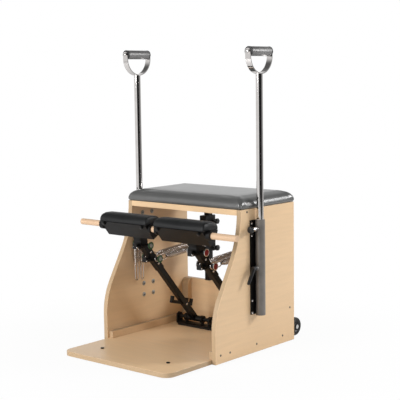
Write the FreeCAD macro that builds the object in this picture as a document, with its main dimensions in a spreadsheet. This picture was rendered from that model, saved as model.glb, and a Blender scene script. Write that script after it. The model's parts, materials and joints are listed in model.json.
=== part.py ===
import FreeCAD, Part
import math
import os
import re
import Sketcher
from FreeCAD import Placement, Rotation, Vector

# A split-pedal pilates chair. +X is the sitter's left to right, -Y the front, +Z up.
# The origin is on the floor, in the middle of the whole chair's outline.

doc = FreeCAD.newDocument("PilatesChair")
sheet = doc.addObject("Spreadsheet::Sheet", "Sizes")

# Driving dimensions, in millimetres and degrees
SIZES = [
    ("chair_width", 600, "across the outer faces of the side panels"),
    ("panel_thick", 20, "plywood of the side panels"),
    ("panel_height", 575, "side panel, bottom edge to top edge"),
    ("panel_depth", 510, "side panel, front to back at the bottom"),
    ("seat_depth", 350, "side panel, front to back at the top"),
    ("curve_low_radius", 266, "lower, outward arc of the front edge"),
    ("curve_top_radius", 400, "upper, inward arc of the front edge"),
    ("curve_slope", 139.7, "straight slope between the two arcs"),
    ("panel_round", 1.5, "rounding of the plywood edges"),
    ("base_length", 760, "base board, front to back"),
    ("base_thick", 18, "base board plywood"),
    ("base_corner", 40, "corner radius of the base board's front"),
    ("deck_thick", 22, "seat deck plywood"),
    ("back_thick", 18, "back panel plywood"),
    ("back_top", 200, "top edge of the back panel over the panels' bottom"),
    ("batten_width", 20, "batten on the base, across"),
    ("batten_height", 28, "batten on the base, upright"),
    ("batten_setback", 10, "batten's front end behind the panel's front edge"),
    ("block_width", 35, "corner block, across"),
    ("block_depth", 25, "corner block, front to back"),
    ("foot_thick", 4, "rubber foot"),
    ("foot_dia", 40, "rubber foot across"),
    ("foot_inset", 45, "foot centre from the base board's edges"),
    ("foot_bolt_x", 176, "front foot bolts from the middle"),
    ("foot_bolt_front", 118, "front foot bolts behind the base board's front edge"),
    ("cushion_thick", 48, "seat cushion at its crown"),
    ("cushion_side", 22, "upright side of the seat cushion"),
    ("cushion_slope", 62, "width of the rounded shoulder of the cushion"),
    ("cushion_pull", 3, "how far the cushion's sides draw in between its corners"),
    ("cushion_corner", 24, "corner radius of the cushion"),
    ("cushion_gap", 0.3, "cushion over the deck and the panels"),
    ("screw_head", 9, "wood screw head across"),
    ("screw_proud", 0.8, "wood screw head over the panel"),
    ("screw_shank", 5, "wood screw shank across"),
    ("bolt_head", 11, "rail bolt head across"),
    ("bolt_head_thick", 4, "rail bolt head"),
    ("bolt_shank", 6, "rail bolt shank across"),
    ("nut_dia", 19, "tee nut flange across"),
    ("nut_thick", 3, "tee nut flange"),
    ("hole_clear", 0.1, "bolt and screw holes over their shanks, on the radius"),
    ("fit_clear", 0.05, "running fit of pins and shafts, on the radius"),
    ("slide_clear", 0.3, "flat sliding faces, each side"),
    ("pedal_side", 8, "pedal's outer end off the side panel"),
    ("pedal_split", 44, "between the two pedals"),
    ("pivot_back", 112, "pedal pivot in front of the panels' rear edge"),
    ("pivot_height", 48, "pedal pivot over the panels' bottom"),
    ("ear_inset", 37, "pivot bracket's ears in from the pedal's ends"),
    ("ear_thick", 10, "pivot bracket ear"),
    ("ear_width", 32, "pivot bracket ear, front to back"),
    ("bar_height", 10, "pivot bracket's base bar"),
    ("bar_width", 26, "pivot bracket's base bar, front to back"),
    ("foot_front", 43, "pivot bracket's foot plate in front of the pivot"),
    ("foot_out", 60, "pivot bracket's foot plate past the arm, outwards"),
    ("foot_gap", 8, "pivot bracket's foot plate off the chair's middle"),
    ("axle_dia", 16, "pedal pivot axle"),
    ("axle_end", 4, "axle end standing out of each ear"),
    ("hub_dia", 26, "arm hub across"),
    ("hub_length", 100, "arm hub along the axle"),
    ("collar_dia", 32, "hub collars across"),
    ("collar_length", 12, "hub collars along the axle"),
    ("arm_size", 23, "arm, square tube"),
    ("arm_angle", 49, "arm over the level, at rest"),
    ("arm_length", 490, "arm from the pivot to its top"),
    ("sleeve_size", 28, "stiffened top of the arm, square"),
    ("stiff_length", 160, "stiffened top of the arm, along it"),
    ("neck_radius", 20, "round hood on the top of the arm"),
    ("neck_width", 40, "hood and stem, across"),
    ("stem_front", 490, "top of the stem's front face in front of the panels' rear edge"),
    ("stem_depth", 28, "stem, front to back"),
    ("pin_low", 398, "lower spring pin along the arm"),
    ("pin_high", 480, "upper spring pin along the arm"),
    ("pin_dia", 8, "spring pins and studs across"),
    ("pin_reach", 38, "spring pins out of the arm's middle, each side"),
    ("cap_dia", 30, "coloured pin caps across"),
    ("cap_thick", 8, "coloured pin caps"),
    ("tab_reach", 50, "front hooks in front of the arm's line"),
    ("tab_thick", 12, "front hooks, upright"),
    ("tab_width", 22, "front hooks, across"),
    ("tab_lip", 8, "front hooks' turned-up lip"),
    ("cradle_along", 103, "lower cradle along the arm"),
    ("cradle_front", 88, "lower cradle in front of the arm's line"),
    ("cradle_rear", 48, "lower cradle behind the arm's line"),
    ("cradle_tilt", 15, "lower cradle's front end up, in degrees"),
    ("cradle_thick", 14, "lower cradle's bar, upright"),
    ("cradle_width", 12, "lower cradle's bar, across"),
    ("prong_height", 16, "lower cradle's upturned ends"),
    ("prong_width", 12, "lower cradle's upturned ends, front to back"),
    ("prong_gap", 30, "between the two rear ends of the cradle"),
    ("pedal_front", 546, "pedal's front edge in front of the panels' rear edge"),
    ("pedal_rear", 455, "pedal's rear edge in front of the panels' rear edge"),
    ("pedal_top", 511, "pedal's steel top over the panels' bottom"),
    ("plate_foot_front", 496, "foot of the slanting plate in front of the panels' rear edge"),
    ("plate_drop", 60, "foot of the slanting plate under the pedal's steel top"),
    ("plate_thick", 3, "pedal's folded sheet"),
    ("end_thick", 5, "pedal's end plates"),
    ("bush_dia", 40, "bushes of the end plates round the dowel, across"),
    ("bush_out", 20, "bush of the outer end plate along the dowel"),
    ("bush_in", 11, "bush of the inner end plate along the dowel"),
    ("end_tail", 24, "end plate's foot, front to back"),
    ("end_rise", 14, "end plate's foot, rise to the back"),
    ("pad_thick", 35, "pedal pad at its crown"),
    ("pad_shoulder", 22, "rounded shoulder of the pedal pad"),
    ("pad_end", 14, "length over which the pad's ends round off"),
    ("pad_end_drop", 5, "how far the pad draws in at its ends"),
    ("knob_dia", 14, "pedal bolt heads across"),
    ("knob_thick", 8, "pedal bolt heads"),
    ("knob_inset", 21, "pedal bolts in from the pedal's ends"),
    ("knob_down", 9, "pedal bolts down the slanting plate from its top"),
    ("dowel_dia", 25, "wooden dowel through both pedals"),
    ("dowel_length", 820, "wooden dowel"),
    ("dowel_front", 512, "dowel's axis in front of the panels' rear edge"),
    ("dowel_drop", 16, "dowel's axis under the pedal's steel top"),
    ("post_size", 25, "spring post, square tube"),
    ("post_wall", 2.5, "spring post's wall"),
    ("post_plate", 5, "post's top plate"),
    ("post_plate_width", 70, "post's top plate, across"),
    ("post_tab", 25, "post's tab down the back panel"),
    ("carriage_width", 34, "spring carriage, across"),
    ("carriage_front", 25, "carriage in front of its post"),
    ("carriage_behind", 14, "carriage behind its post"),
    ("carriage_low", 330, "lower carriage's foot over the panels' bottom"),
    ("carriage_height", 62, "lower carriage, upright"),
    ("stop_low", 447, "upper carriage's foot over the panels' bottom"),
    ("stop_height", 40, "upper carriage, upright"),
    ("stud_up", 44, "spring stud over the lower carriage's foot"),
    ("stud_front", 17, "spring stud in front of the post"),
    ("clamp_up", 13, "clamp screw over the lower carriage's foot"),
    ("clamp_behind", 7, "clamp screw behind the post"),
    ("clamp_dia", 8, "clamp screw across"),
    ("hand_knob_dia", 26, "clamp screw's knobs across"),
    ("hand_knob_thick", 14, "clamp screw's knobs"),
    ("hand_knob_gap", 9, "clamp screw's knobs off the carriage"),
    ("wire_dia", 3, "spring wire"),
    ("coil_radius", 10.5, "spring coils, to the middle of the wire"),
    ("coil_turns", 18, "turns of each working spring"),
    ("coil_offset", 27, "springs beside the arm's middle"),
    ("coil_start", 42, "start of the coil from the rear stud"),
    ("coil_length", 232, "coil of a working spring"),
    ("loop_seat", 4.7, "middle of the loop's round in front of the stud"),
    ("wire_bend", 5, "bend where the coil turns into the loop"),
    ("hook_slack", 3, "front pin behind the middle of its loop's round"),
    ("plug_flange", 3, "front hook's flange"),
    ("plug_inside", 6, "front hook's plug inside the coil"),
    ("plug_gap", 0.3, "front hook's plug to the coil"),
    ("spare_turns", 12, "turns of each spare spring"),
    ("spare_coil", 115, "coil of a spare spring"),
    ("spare_loop", 66, "long lower loop of a spare spring"),
    ("spare_top_loop", 24, "top loop of a spare spring"),
    ("spare_off", 16, "spare springs' loops off the left panel"),
    ("spare_front", 318, "rear spare spring in front of the panels' rear edge"),
    ("spare_pitch", 34, "between the two spare springs"),
    ("peg_height", 450, "spare springs' pegs over the panels' bottom"),
    ("peg_dia", 7, "spare springs' pegs across"),
    ("peg_length", 26, "spare springs' pegs out of the panel"),
    ("peg_head", 16, "spare springs' peg heads across"),
    ("peg_head_thick", 4, "spare springs' peg heads"),
    ("rail_thick", 4, "mounting rail under each pole sleeve"),
    ("rail_width", 74, "mounting rail, front to back"),
    ("rail_low", 157, "mounting rail's foot over the panels' bottom"),
    ("rail_high", 530, "mounting rail's top over the panels' bottom"),
    ("rail_bolt_spread", 58, "between the two bolts of a row, front to back"),
    ("rail_bolt_end", 12, "upper rail bolts from the rail's top"),
    ("rail_bolt_foot", 8, "lower rail bolts from the rail's foot"),
    ("rail_bolt_pitch", 48, "between the two rows of rail bolts at an end"),
    ("tube_dia", 38, "pole sleeve across"),
    ("pole_dia", 28, "pole across"),
    ("pole_wall", 2.5, "pole's wall"),
    ("pole_back", 258, "pole's axis in front of the panels' rear edge"),
    ("pole_low", 200, "pole's foot over the panels' bottom"),
    ("tube_low", 154, "pole sleeve's foot over the panels' bottom"),
    ("tube_high", 532, "pole sleeve's top over the panels' bottom"),
    ("index_dia", 7, "holes up the pole"),
    ("index_first", 537, "lowest hole over the panels' bottom"),
    ("index_pitch", 40, "between the pole's holes"),
    ("boss_dia", 18, "threaded bosses on the sleeve"),
    ("boss_length", 10, "threaded bosses out of the sleeve"),
    ("pull_height", 497, "pull knob over the panels' bottom"),
    ("pull_dia", 10, "pull knob's plunger across"),
    ("pull_neck", 18, "plunger between its boss and its knob"),
    ("pull_knob_dia", 28, "pull knob across"),
    ("pull_knob_thick", 20, "pull knob"),
    ("nose_gap", 0.3, "plunger's and clamp screw's noses off the pole"),
    ("lever_height", 343, "clamp lever over the panels' bottom"),
    ("lever_screw", 8, "clamp lever's screw across"),
    ("lever_hub_dia", 18, "clamp lever's hub across"),
    ("lever_hub_length", 20, "clamp lever's hub"),
    ("lever_length", 70, "clamp lever's handle"),
    ("lever_tilt", 32, "handle's lean away from the panel's plane, to the front"),
    ("lever_root", 7, "handle's radius at the hub"),
    ("lever_tip", 5, "handle's radius at the tip"),
    ("grip_height", 1180, "hand grip's axis over the panels' bottom"),
    ("strap_radius", 70, "outside of the D-handle's round"),
    ("strap_thick", 4, "D-handle's flat bar"),
    ("strap_width", 25, "D-handle's flat bar, across"),
    ("strap_leg", 16, "straight leg of the D-handle under the grip's axis"),
    ("grip_dia", 38, "hand grip across"),
    ("grip_gap", 0.5, "hand grip to the D-handle, each end"),
    ("grip_bolt", 10, "hand grip's bolt across"),
    ("grip_head_dia", 18, "hand grip's bolt heads across"),
    ("grip_head_thick", 4, "hand grip's bolt heads"),
    ("wheel_dia", 76, "rear wheel across"),
    ("wheel_width", 24, "rear wheel's tread"),
    ("wheel_reach", 50, "rear wheel's axle behind the panels' rear edge"),
    ("wheel_height", 40, "rear wheel's axle over the panels' bottom"),
    ("wheel_inset", 18, "middle of the tread inside the side panel's inner face"),
    ("rim_dia", 52, "wheel's hub across"),
    ("wheel_axle", 10, "wheel's axle across"),
    ("wheel_gap", 0.6, "wheel to its spacer and to the axle's head"),
    ("axle_head_dia", 17, "wheel axle's head across"),
    ("axle_head_thick", 6, "wheel axle's head"),
    ("bracket_thick", 4, "wheel bracket's plate"),
    ("bracket_width", 42, "wheel bracket's flange, across"),
    ("bracket_height", 30, "wheel bracket, upright"),
    ("bracket_boss", 16, "spacer between the bracket and the wheel, across"),
    ("bracket_space", 5, "spacer between the bracket and the wheel"),
    ("joint_bolt", 8, "bolts of the pivot brackets, across"),
]

# Places that follow from the driving dimensions
PLACES = [
    ("floor_z", "foot_thick", "height of the panels' bottom"),
    ("rear_y", "(base_length - wheel_reach - wheel_dia / 2) / 2", "panels' rear edge"),
    ("outer_x", "chair_width / 2", "outer face of the side panels"),
    ("inner_x", "chair_width / 2 - panel_thick", "inner face of the side panels"),
    ("curve_step", "panel_depth - seat_depth", "front edge's set-back from foot to seat"),
    ("curve_rise", "sqrt(curve_slope^2 + 2 * (curve_low_radius + curve_top_radius) * curve_step - curve_step^2)",
     "height of the front edge's curve"),
    ("curve_start", "panel_height - curve_rise", "height where the front edge leaves the upright"),
    ("pedal_width", "inner_x - pedal_side - pedal_split / 2", "pedal across"),
    ("pedal_x", "(pedal_split + pedal_width) / 2", "middle of each pedal and its arm"),
    ("ear_span", "pedal_width - 2 * ear_inset", "pivot bracket, middle of ear to middle of ear"),
    ("knob_spread", "pedal_width - 2 * knob_inset", "between the two bolts of one pedal"),
    ("wheel_x", "inner_x - wheel_inset", "middle of the tread"),
    ("base_top", "floor_z + base_thick", "top of the base board"),
    ("deck_low", "floor_z + panel_height - deck_thick", "underside of the seat deck"),
    ("pivot_y", "rear_y - pivot_back", "pedal pivot"),
    ("pivot_z", "floor_z + pivot_height", "pedal pivot"),
    ("arm_run", "cos(arm_angle * 1deg)", "forward step along the arm"),
    ("arm_rise", "sin(arm_angle * 1deg)", "upward step along the arm"),
    ("plate_foot_height", "pedal_top - plate_drop", "foot of the slanting plate"),
    ("dowel_height", "pedal_top - dowel_drop", "dowel's axis over the panels' bottom"),
    ("plate_run", "(pedal_front - plate_foot_front) / (pedal_top - plate_foot_height)", "slanting plate"),
    ("post_y", "rear_y - post_size / 2", "middle of the spring posts"),
    ("post_face", "rear_y - post_size", "front face of the spring posts"),
    ("stud_y", "post_face - stud_front", "rear spring studs"),
    ("stud_z", "floor_z + carriage_low + stud_up", "rear spring studs"),
    ("pole_x", "outer_x + rail_thick + tube_dia / 2", "axis of the poles"),
    ("pole_y", "rear_y - pole_back", "axis of the poles"),
    ("grip_z", "floor_z + grip_height", "axis of the hand grips"),
    ("round_z", "grip_z - strap_leg", "middle of the D-handle's round"),
    ("wheel_y", "rear_y + wheel_reach", "axle of the wheels"),
    ("wheel_z", "floor_z + wheel_height", "axle of the wheels"),
    ("tube_face", "pole_y - tube_dia / 2", "front of the pole sleeves"),
]

NAMES = [row[0] for row in SIZES + PLACES]
ALIAS = re.compile(r"\b(?:" + "|".join(sorted(NAMES, key=len, reverse=True)) + r")\b")


def fill_sheet():
    """Write each size, and each place as a formula, with its alias and note."""
    for row, (alias, number, note) in enumerate(SIZES + PLACES, start=1):
        sheet.set(f"A{row}", note)
        sheet.set(f"B{row}", f"={number}" if isinstance(number, str) else str(number))
        sheet.setAlias(f"B{row}", alias)
    doc.recompute()


fill_sheet()


def size(alias):
    """The number in an aliased cell."""
    return float(sheet.get(alias))


def bind(target, prop, text):
    """Bind a property to an expression in the sheet's aliases."""
    target.setExpression(prop, ALIAS.sub(lambda found: "Sizes." + found.group(0), text))


def place(target, x, y, z):
    """Bind the place of an object."""
    for axis, text in zip("xyz", (x, y, z)):
        bind(target, "Placement.Base." + axis, text)
    return target


# Solids that the sub-parts are made from

ALONG = {
    "x": Rotation(Vector(0, 1, 0), 90),
    "y": Rotation(Vector(1, 0, 0), -90),
    "z": Rotation(),
}


def block(name, xs, ys, zs):
    """A box between pairs of bounds."""
    box = doc.addObject("Part::Box", name)
    for prop, (low, high) in zip(("Length", "Width", "Height"), (xs, ys, zs)):
        bind(box, prop, f"({high}) - ({low})")
    return place(box, xs[0], ys[0], zs[0])


def rod(name, axis, diameter, start, length):
    """A round bar from a start point along an axis."""
    bar = doc.addObject("Part::Cylinder", name)
    bar.Placement = Placement(Vector(), ALONG[axis])
    bind(bar, "Radius", f"({diameter}) / 2")
    bind(bar, "Height", length)
    return place(bar, *start)


def arm_bar(name, x, side, along, length):
    """A square bar of the arm, its middle on the arm's line, from a distance along it."""
    bar = doc.addObject("Part::Box", name)
    bar.Placement = Placement(Vector(), Rotation(Vector(1, 0, 0), 1))
    bind(bar, "Placement.Rotation.Angle", "(90 - arm_angle) * 1deg")
    bind(bar, "Length", side)
    bind(bar, "Width", side)
    bind(bar, "Height", length)
    forward = f"pivot_y - ({along}) * arm_run - {side} / 2 * arm_rise"
    upward = f"pivot_z + ({along}) * arm_rise - {side} / 2 * arm_run"
    return place(bar, f"{x} - {side} / 2", forward, upward)


def on_arm(along):
    """Y and Z of a point along the arm's line."""
    return f"pivot_y - ({along}) * arm_run", f"pivot_z + ({along}) * arm_rise"


def fuse(name, pieces):
    """Join pieces into one solid."""
    whole = pieces[0]
    for piece in pieces[1:]:
        joined = doc.addObject("Part::Fuse", name)
        joined.Base = whole
        joined.Tool = piece
        joined.Refine = True
        whole = joined
    return whole


def cut(name, whole, tools):
    """Take tools out of a solid."""
    for tool in tools:
        rest = doc.addObject("Part::Cut", name)
        rest.Base = whole
        rest.Tool = tool
        whole = rest
    return whole


def group(name, pieces):
    """Identical pieces kept together as separate solids."""
    bundle = doc.addObject("Part::Compound", name)
    bundle.Links = pieces
    return bundle


def mirror_span(sign, low, high):
    """Bounds on the right of the chair, or the same ones on its left."""
    return (low, high) if sign > 0 else (f"-({high})", f"-({low})")


def outline_body(name, x_high):
    """A body whose sketch measures forward from the panels' rear edge, and up from their bottom."""
    body = doc.addObject("PartDesign::Body", name)
    body.Placement = Placement(Vector(), Rotation(Vector(0, 0, 1), 180))
    place(body, x_high, "rear_y", "floor_z")
    return body, new_sketch(body, "YZ_Plane")


def new_sketch(body, role):
    """A sketch on one of the body's own planes."""
    sketch = body.newObject("Sketcher::SketchObject", body.Name + "_outline")
    plane = next(feature for feature in body.Origin.OriginFeatures if feature.Role == role)
    sketch.AttachmentSupport = [(plane, "")]
    sketch.MapMode = "FlatFace"
    return sketch


def pad(body, sketch, length):
    """Give a sketch its thickness."""
    feature = body.newObject("PartDesign::Pad", body.Name + "_pad")
    feature.Profile = sketch
    bind(feature, "Length", length)
    sketch.Visibility = False
    return feature


def measure(sketch, kind, expression, *elements):
    """A driven dimension of a sketch, started from its own size where that is a single one."""
    start = size(expression) if expression in NAMES else 1.0
    index = sketch.addConstraint(Sketcher.Constraint(kind, *elements, start))
    bind(sketch, f"Constraints[{index}]", expression)


def polygon(sketch, corners):
    """A closed outline of straight sides, each corner placed by two expressions."""
    count = len(corners)
    for i in range(count):
        here, there = Vector(i, i * i, 0), Vector(i + 1, (i + 1) * (i + 1), 0)
        sketch.addGeometry(Part.LineSegment(here, there), False)
    for i in range(count):
        sketch.addConstraint(Sketcher.Constraint("Coincident", i, 2, (i + 1) % count, 1))
    for i, (forward, upward) in enumerate(corners):
        measure(sketch, "DistanceX", forward, -1, 1, i, 1)
        measure(sketch, "DistanceY", upward, -1, 1, i, 1)


def prism(name, corners, x_low, x_high):
    """A straight-sided outline in the YZ plane with a thickness along X."""
    body, sketch = outline_body(name, x_high)
    polygon(sketch, corners)
    pad(body, sketch, f"({x_high}) - ({x_low})")
    return body


def round_over(body, radius, wanted):
    """Round the edges of a body's last feature that a test picks."""
    doc.recompute()
    base = body.Tip
    names = [f"Edge{i}" for i, edge in enumerate(base.Shape.Edges, start=1) if wanted(edge)]
    fillet = body.newObject("PartDesign::Fillet", body.Name + "_round")
    fillet.Base = (base, names)
    bind(fillet, "Radius", radius)
    return fillet


NODES = {}


def node(label, solid):
    """Name a finished sub-part."""
    solid.Label = label
    NODES[label] = solid


SIDES = (("left", -1), ("right", 1))


# Timber body

def screw_points():
    """Wood screws of a side panel: distance in front of its rear edge, and height."""
    batten_mid = "base_thick + batten_height / 2"
    base_row = [("panel_depth - batten_setback - batten_width", batten_mid),
                ("panel_depth * 0.83", batten_mid),
                ("panel_depth * 0.5", batten_mid),
                ("panel_depth * 0.16", batten_mid)]
    block_row = [("back_thick + block_depth / 2", "back_top * 0.7")]
    deck_row = [("seat_depth * 0.89", "panel_height - deck_thick / 2")]
    return base_row + block_row + deck_row


def rail_points():
    """Rail bolts: Y and Z of two rows at each end of the rail."""
    rows = ["rail_low + rail_bolt_foot", "rail_low + rail_bolt_foot + rail_bolt_pitch",
            "rail_high - rail_bolt_end - rail_bolt_pitch", "rail_high - rail_bolt_end"]
    spots = []
    for height in rows:
        for hand in ("-", "+"):
            spots.append((f"pole_y {hand} rail_bolt_spread / 2", f"floor_z + {height}"))
    return spots


def panel_outline(sketch):
    """Upright foot, outward arc, slope, inward arc to the seat's front, and straight back."""
    depth, top = size("panel_depth"), size("panel_height")
    seat, foot = size("seat_depth"), size("curve_start")
    low, high = size("curve_low_radius"), size("curve_top_radius")
    both = low + high
    reach = math.hypot(seat - depth + both, top - foot)
    lean = math.atan2(top - foot, seat - depth + both) - math.acos(both / reach)
    low_mid = Vector(depth - low, foot, 0)
    top_mid = Vector(seat + high, top, 0)
    across = Vector(math.cos(lean), math.sin(lean), 0)
    flat = Vector(0, 0, 1)
    corners = [Vector(0, 0, 0), Vector(depth, 0, 0), Vector(depth, foot, 0)]
    sketch.addGeometry(Part.LineSegment(corners[0], corners[1]), False)
    sketch.addGeometry(Part.LineSegment(corners[1], corners[2]), False)
    sketch.addGeometry(Part.ArcOfCircle(Part.Circle(low_mid, flat, low), 0, lean), False)
    sketch.addGeometry(Part.LineSegment(low_mid + across * low, top_mid - across * high), False)
    sketch.addGeometry(Part.ArcOfCircle(Part.Circle(top_mid, flat, high), math.pi, math.pi + lean), False)
    sketch.addGeometry(Part.LineSegment(Vector(seat, top, 0), Vector(0, top, 0)), False)
    sketch.addGeometry(Part.LineSegment(Vector(0, top, 0), Vector(0, 0, 0)), False)
    bottom, upright, outward, slope, inward, crest, rear = range(7)
    ties = [("Coincident", bottom, 1, -1, 1), ("Coincident", bottom, 2, upright, 1),
            ("Tangent", upright, 2, outward, 1), ("Tangent", outward, 2, slope, 1),
            ("Tangent", slope, 2, inward, 2), ("Coincident", inward, 1, crest, 1),
            ("Coincident", crest, 2, rear, 1), ("Coincident", rear, 2, bottom, 1),
            ("Horizontal", bottom), ("Vertical", upright), ("Horizontal", crest), ("Vertical", rear),
            ("Horizontal", inward, 3, inward, 1)]
    for tie in ties:
        sketch.addConstraint(Sketcher.Constraint(*tie))
    measure(sketch, "DistanceX", "panel_depth", -1, 1, bottom, 2)
    measure(sketch, "DistanceY", "curve_start", -1, 1, upright, 2)
    measure(sketch, "DistanceX", "seat_depth", -1, 1, crest, 1)
    measure(sketch, "DistanceY", "panel_height", -1, 1, crest, 1)
    measure(sketch, "Radius", "curve_low_radius", outward)
    measure(sketch, "Radius", "curve_top_radius", inward)


def side_panels():
    """Curved plywood sides, with their wood screws and the holes for the pole rails."""
    screws = []
    for side, sign in SIDES:
        xs = mirror_span(sign, "inner_x", "outer_x")
        body, sketch = outline_body(f"panel_{side}", xs[1])
        panel_outline(sketch)
        pad(body, sketch, "panel_thick")
        round_over(body, "panel_round", lambda edge: True)
        holes = []
        for forward, height in screw_points():
            y, z = f"rear_y - ({forward})", f"floor_z + {height}"
            bore = "screw_shank + 2 * hole_clear"
            holes.append(rod("screw_hole", "x", bore, (xs[0], y, z), "panel_thick"))
            shank = rod("screw_shaft", "x", "screw_shank", (xs[0], y, z), "panel_thick")
            head_x = "outer_x" if sign > 0 else "-outer_x - screw_proud"
            head = rod("screw_top", "x", "screw_head", (head_x, y, z), "screw_proud")
            screws.append(fuse("screw", [shank, head]))
        for y, z in rail_points():
            bore = "bolt_shank + 2 * hole_clear"
            holes.append(rod("rail_hole", "x", bore, (xs[0], y, z), "panel_thick"))
        node(f"side_panel_{side}", cut(f"drilled_panel_{side}", body, [group(f"panel_holes_{side}", holes)]))
    node("panel_screws", group("panel_screws", screws))


def base_board():
    """Board under the sitter's feet, between the panels, with rounded front corners."""
    board = doc.addObject("PartDesign::Body", "board")
    place(board, "0", "0", "floor_z")
    sketch = new_sketch(board, "XY_Plane")
    half, front = "inner_x", "base_length - rear_y"
    for i in range(4):
        sketch.addGeometry(Part.LineSegment(Vector(i, i * i, 0), Vector(i + 1, (i + 1) ** 2, 0)), False)
    for i in range(4):
        sketch.addConstraint(Sketcher.Constraint("Coincident", i, 2, (i + 1) % 4, 1))
    for i, (sideways, lengthways) in enumerate(((-1, -1), (1, -1), (1, 1), (-1, 1))):
        measure(sketch, "DistanceX", half if sideways > 0 else f"-{half}", -1, 1, i, 1)
        measure(sketch, "DistanceY", "rear_y" if lengthways > 0 else f"-({front})", -1, 1, i, 1)
    pad(board, sketch, "base_thick")
    middle = size("floor_z") + size("base_thick") / 2

    def front_corner(edge):
        at = edge.CenterOfMass
        return at.y < 0 and abs(at.z + size("floor_z") - middle) < 1 and edge.BoundBox.ZLength > 1

    round_over(board, "base_corner", front_corner)
    round_over(board, "panel_round", lambda edge: edge.BoundBox.ZLength < 0.1)
    holes, bolts = [], []
    foot_bolt_y = "rear_y - base_length + foot_bolt_front"
    for side, sign in SIDES:
        spot = (f"{sign} * foot_bolt_x", foot_bolt_y)
        bolts.append(base_bolt("foot_bolt", spot, "base_top"))
        holes.append(bolt_hole(spot))
        for hand in (-1, 1):
            spot = (f"{sign} * pedal_x + {hand} * ear_span / 4", "pivot_y")
            bolts.append(base_bolt("bracket_bolt", spot, "base_top + bar_height"))
            holes.append(bolt_hole(spot))
    node("base_board", cut("drilled_board", board, [group("board_holes", holes)]))
    node("base_bolts", group("base_bolts", bolts))


def bolt_hole(spot):
    """Hole through the base board for one of its bolts."""
    return rod("board_hole", "z", "joint_bolt + 2 * hole_clear", (*spot, "floor_z"), "base_thick")


def base_bolt(name, spot, seat):
    """Bolt from a seat down to the underside of the base board."""
    shank = rod(name, "z", "joint_bolt", (*spot, "floor_z"), f"{seat} - floor_z")
    head = rod(name, "z", "joint_bolt * 1.8", (*spot, seat), "joint_bolt * 0.4")
    return fuse(name, [shank, head])


def timber_inside():
    """Deck, back panel, battens and corner blocks between the side panels."""
    deck_ys = ("rear_y - seat_depth", "rear_y")
    node("seat_deck", block("deck", ("-inner_x", "inner_x"), deck_ys, ("deck_low", "deck_low + deck_thick")))
    back_ys = ("rear_y - back_thick", "rear_y")
    back_zs = ("base_top", "floor_z + back_top")
    node("back_panel", block("back", ("-inner_x", "inner_x"), back_ys, back_zs))
    inner = []
    for side, sign in SIDES:
        xs = mirror_span(sign, "inner_x - batten_width", "inner_x")
        ys = ("rear_y - panel_depth + batten_setback", "rear_y - back_thick - block_depth")
        inner.append(block("batten", xs, ys, ("base_top", "base_top + batten_height")))
        inner.append(corner_block(sign))
    node("inner_battens", group("battens", inner))


def corner_block(sign):
    """Glue block in the corner of a side and the back, its front edge rounded at the top."""
    xs = mirror_span(sign, "inner_x - block_width", "inner_x")
    ys = ("rear_y - back_thick - block_depth", "rear_y - back_thick")
    shoulder = "floor_z + back_top - block_depth"
    upright = block("block_upright", xs, ys, ("base_top", shoulder))
    turn = rod("block_round", "x", "2 * block_depth", (xs[0], ys[1], shoulder), "block_width")
    corner = block("block_corner", xs, ys, (shoulder, "floor_z + back_top"))
    crown = doc.addObject("Part::Common", "block_crown")
    crown.Base = turn
    crown.Tool = corner
    return fuse("block", [upright, crown])


def feet():
    """Rubber pads under the base board; two of them sit under the front bolts."""
    pads = []
    for side, sign in SIDES:
        for x, y in ((f"{sign} * foot_bolt_x", "rear_y - base_length + foot_bolt_front"),
                     (f"{sign} * (inner_x - foot_inset)", "rear_y - base_length / 2"),
                     (f"{sign} * (inner_x - foot_inset)", "rear_y - foot_inset")):
            pads.append(rod("foot", "z", "foot_dia", (x, y, "0"), "foot_thick"))
    node("rubber_feet", group("feet", pads))


# Soft pieces

def soft_ring(half_x, half_y, middle_y, height, corner, pull):
    """A rounded rectangle whose sides are arcs drawn in between its corners."""
    edges = []
    slant = corner * (1 - math.sqrt(0.5))
    for turn in range(4):
        along, out = (half_x, half_y) if turn % 2 == 0 else (half_y, half_x)
        spin = Rotation(Vector(0, 0, 1), 90 * turn)
        start = Vector(-along + corner, -out, 0)
        end = Vector(along - corner, -out, 0)
        drawn = Vector(0, -out + pull, 0)
        bend = Vector(along - slant, -out + slant, 0)
        beyond = Vector(along, -out + corner, 0)
        for path in ((start, drawn, end), (end, bend, beyond)):
            points = [spin.multVec(point) + Vector(0, middle_y, height) for point in path]
            edges.append(Part.Arc(*points).toShape())
    return Part.Wire(edges)


def seat_cushion():
    """Upholstered seat: upright sides drawn in between the corners, and a crown."""
    half_x, half_y = size("outer_x"), size("seat_depth") / 2
    corner, pull = size("cushion_corner"), size("cushion_pull")
    side, thick, slope = size("cushion_side"), size("cushion_thick"), size("cushion_slope")
    middle = size("rear_y") - half_y
    rise = thick - side
    levels = [(0.0, 0.03 * slope), (0.5 * side, 0.0), (side, 0.03 * slope), (side + 0.4 * rise, 0.15 * slope),
              (side + 0.7 * rise, 0.4 * slope), (side + 0.9 * rise, 0.8 * slope), (thick, 1.8 * slope)]
    rings = []
    for height, inset in levels:
        rings.append(soft_ring(half_x - inset, half_y - inset, middle, height, corner, pull))
    cushion = doc.addObject("Part::Feature", "cushion")
    cushion.Shape = Part.makeLoft(rings, True, True)
    lift = size("floor_z") + size("panel_height") + size("cushion_gap")
    cushion.Placement = Placement(Vector(0, 0, lift), Rotation())
    node("seat_cushion", cushion)


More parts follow.
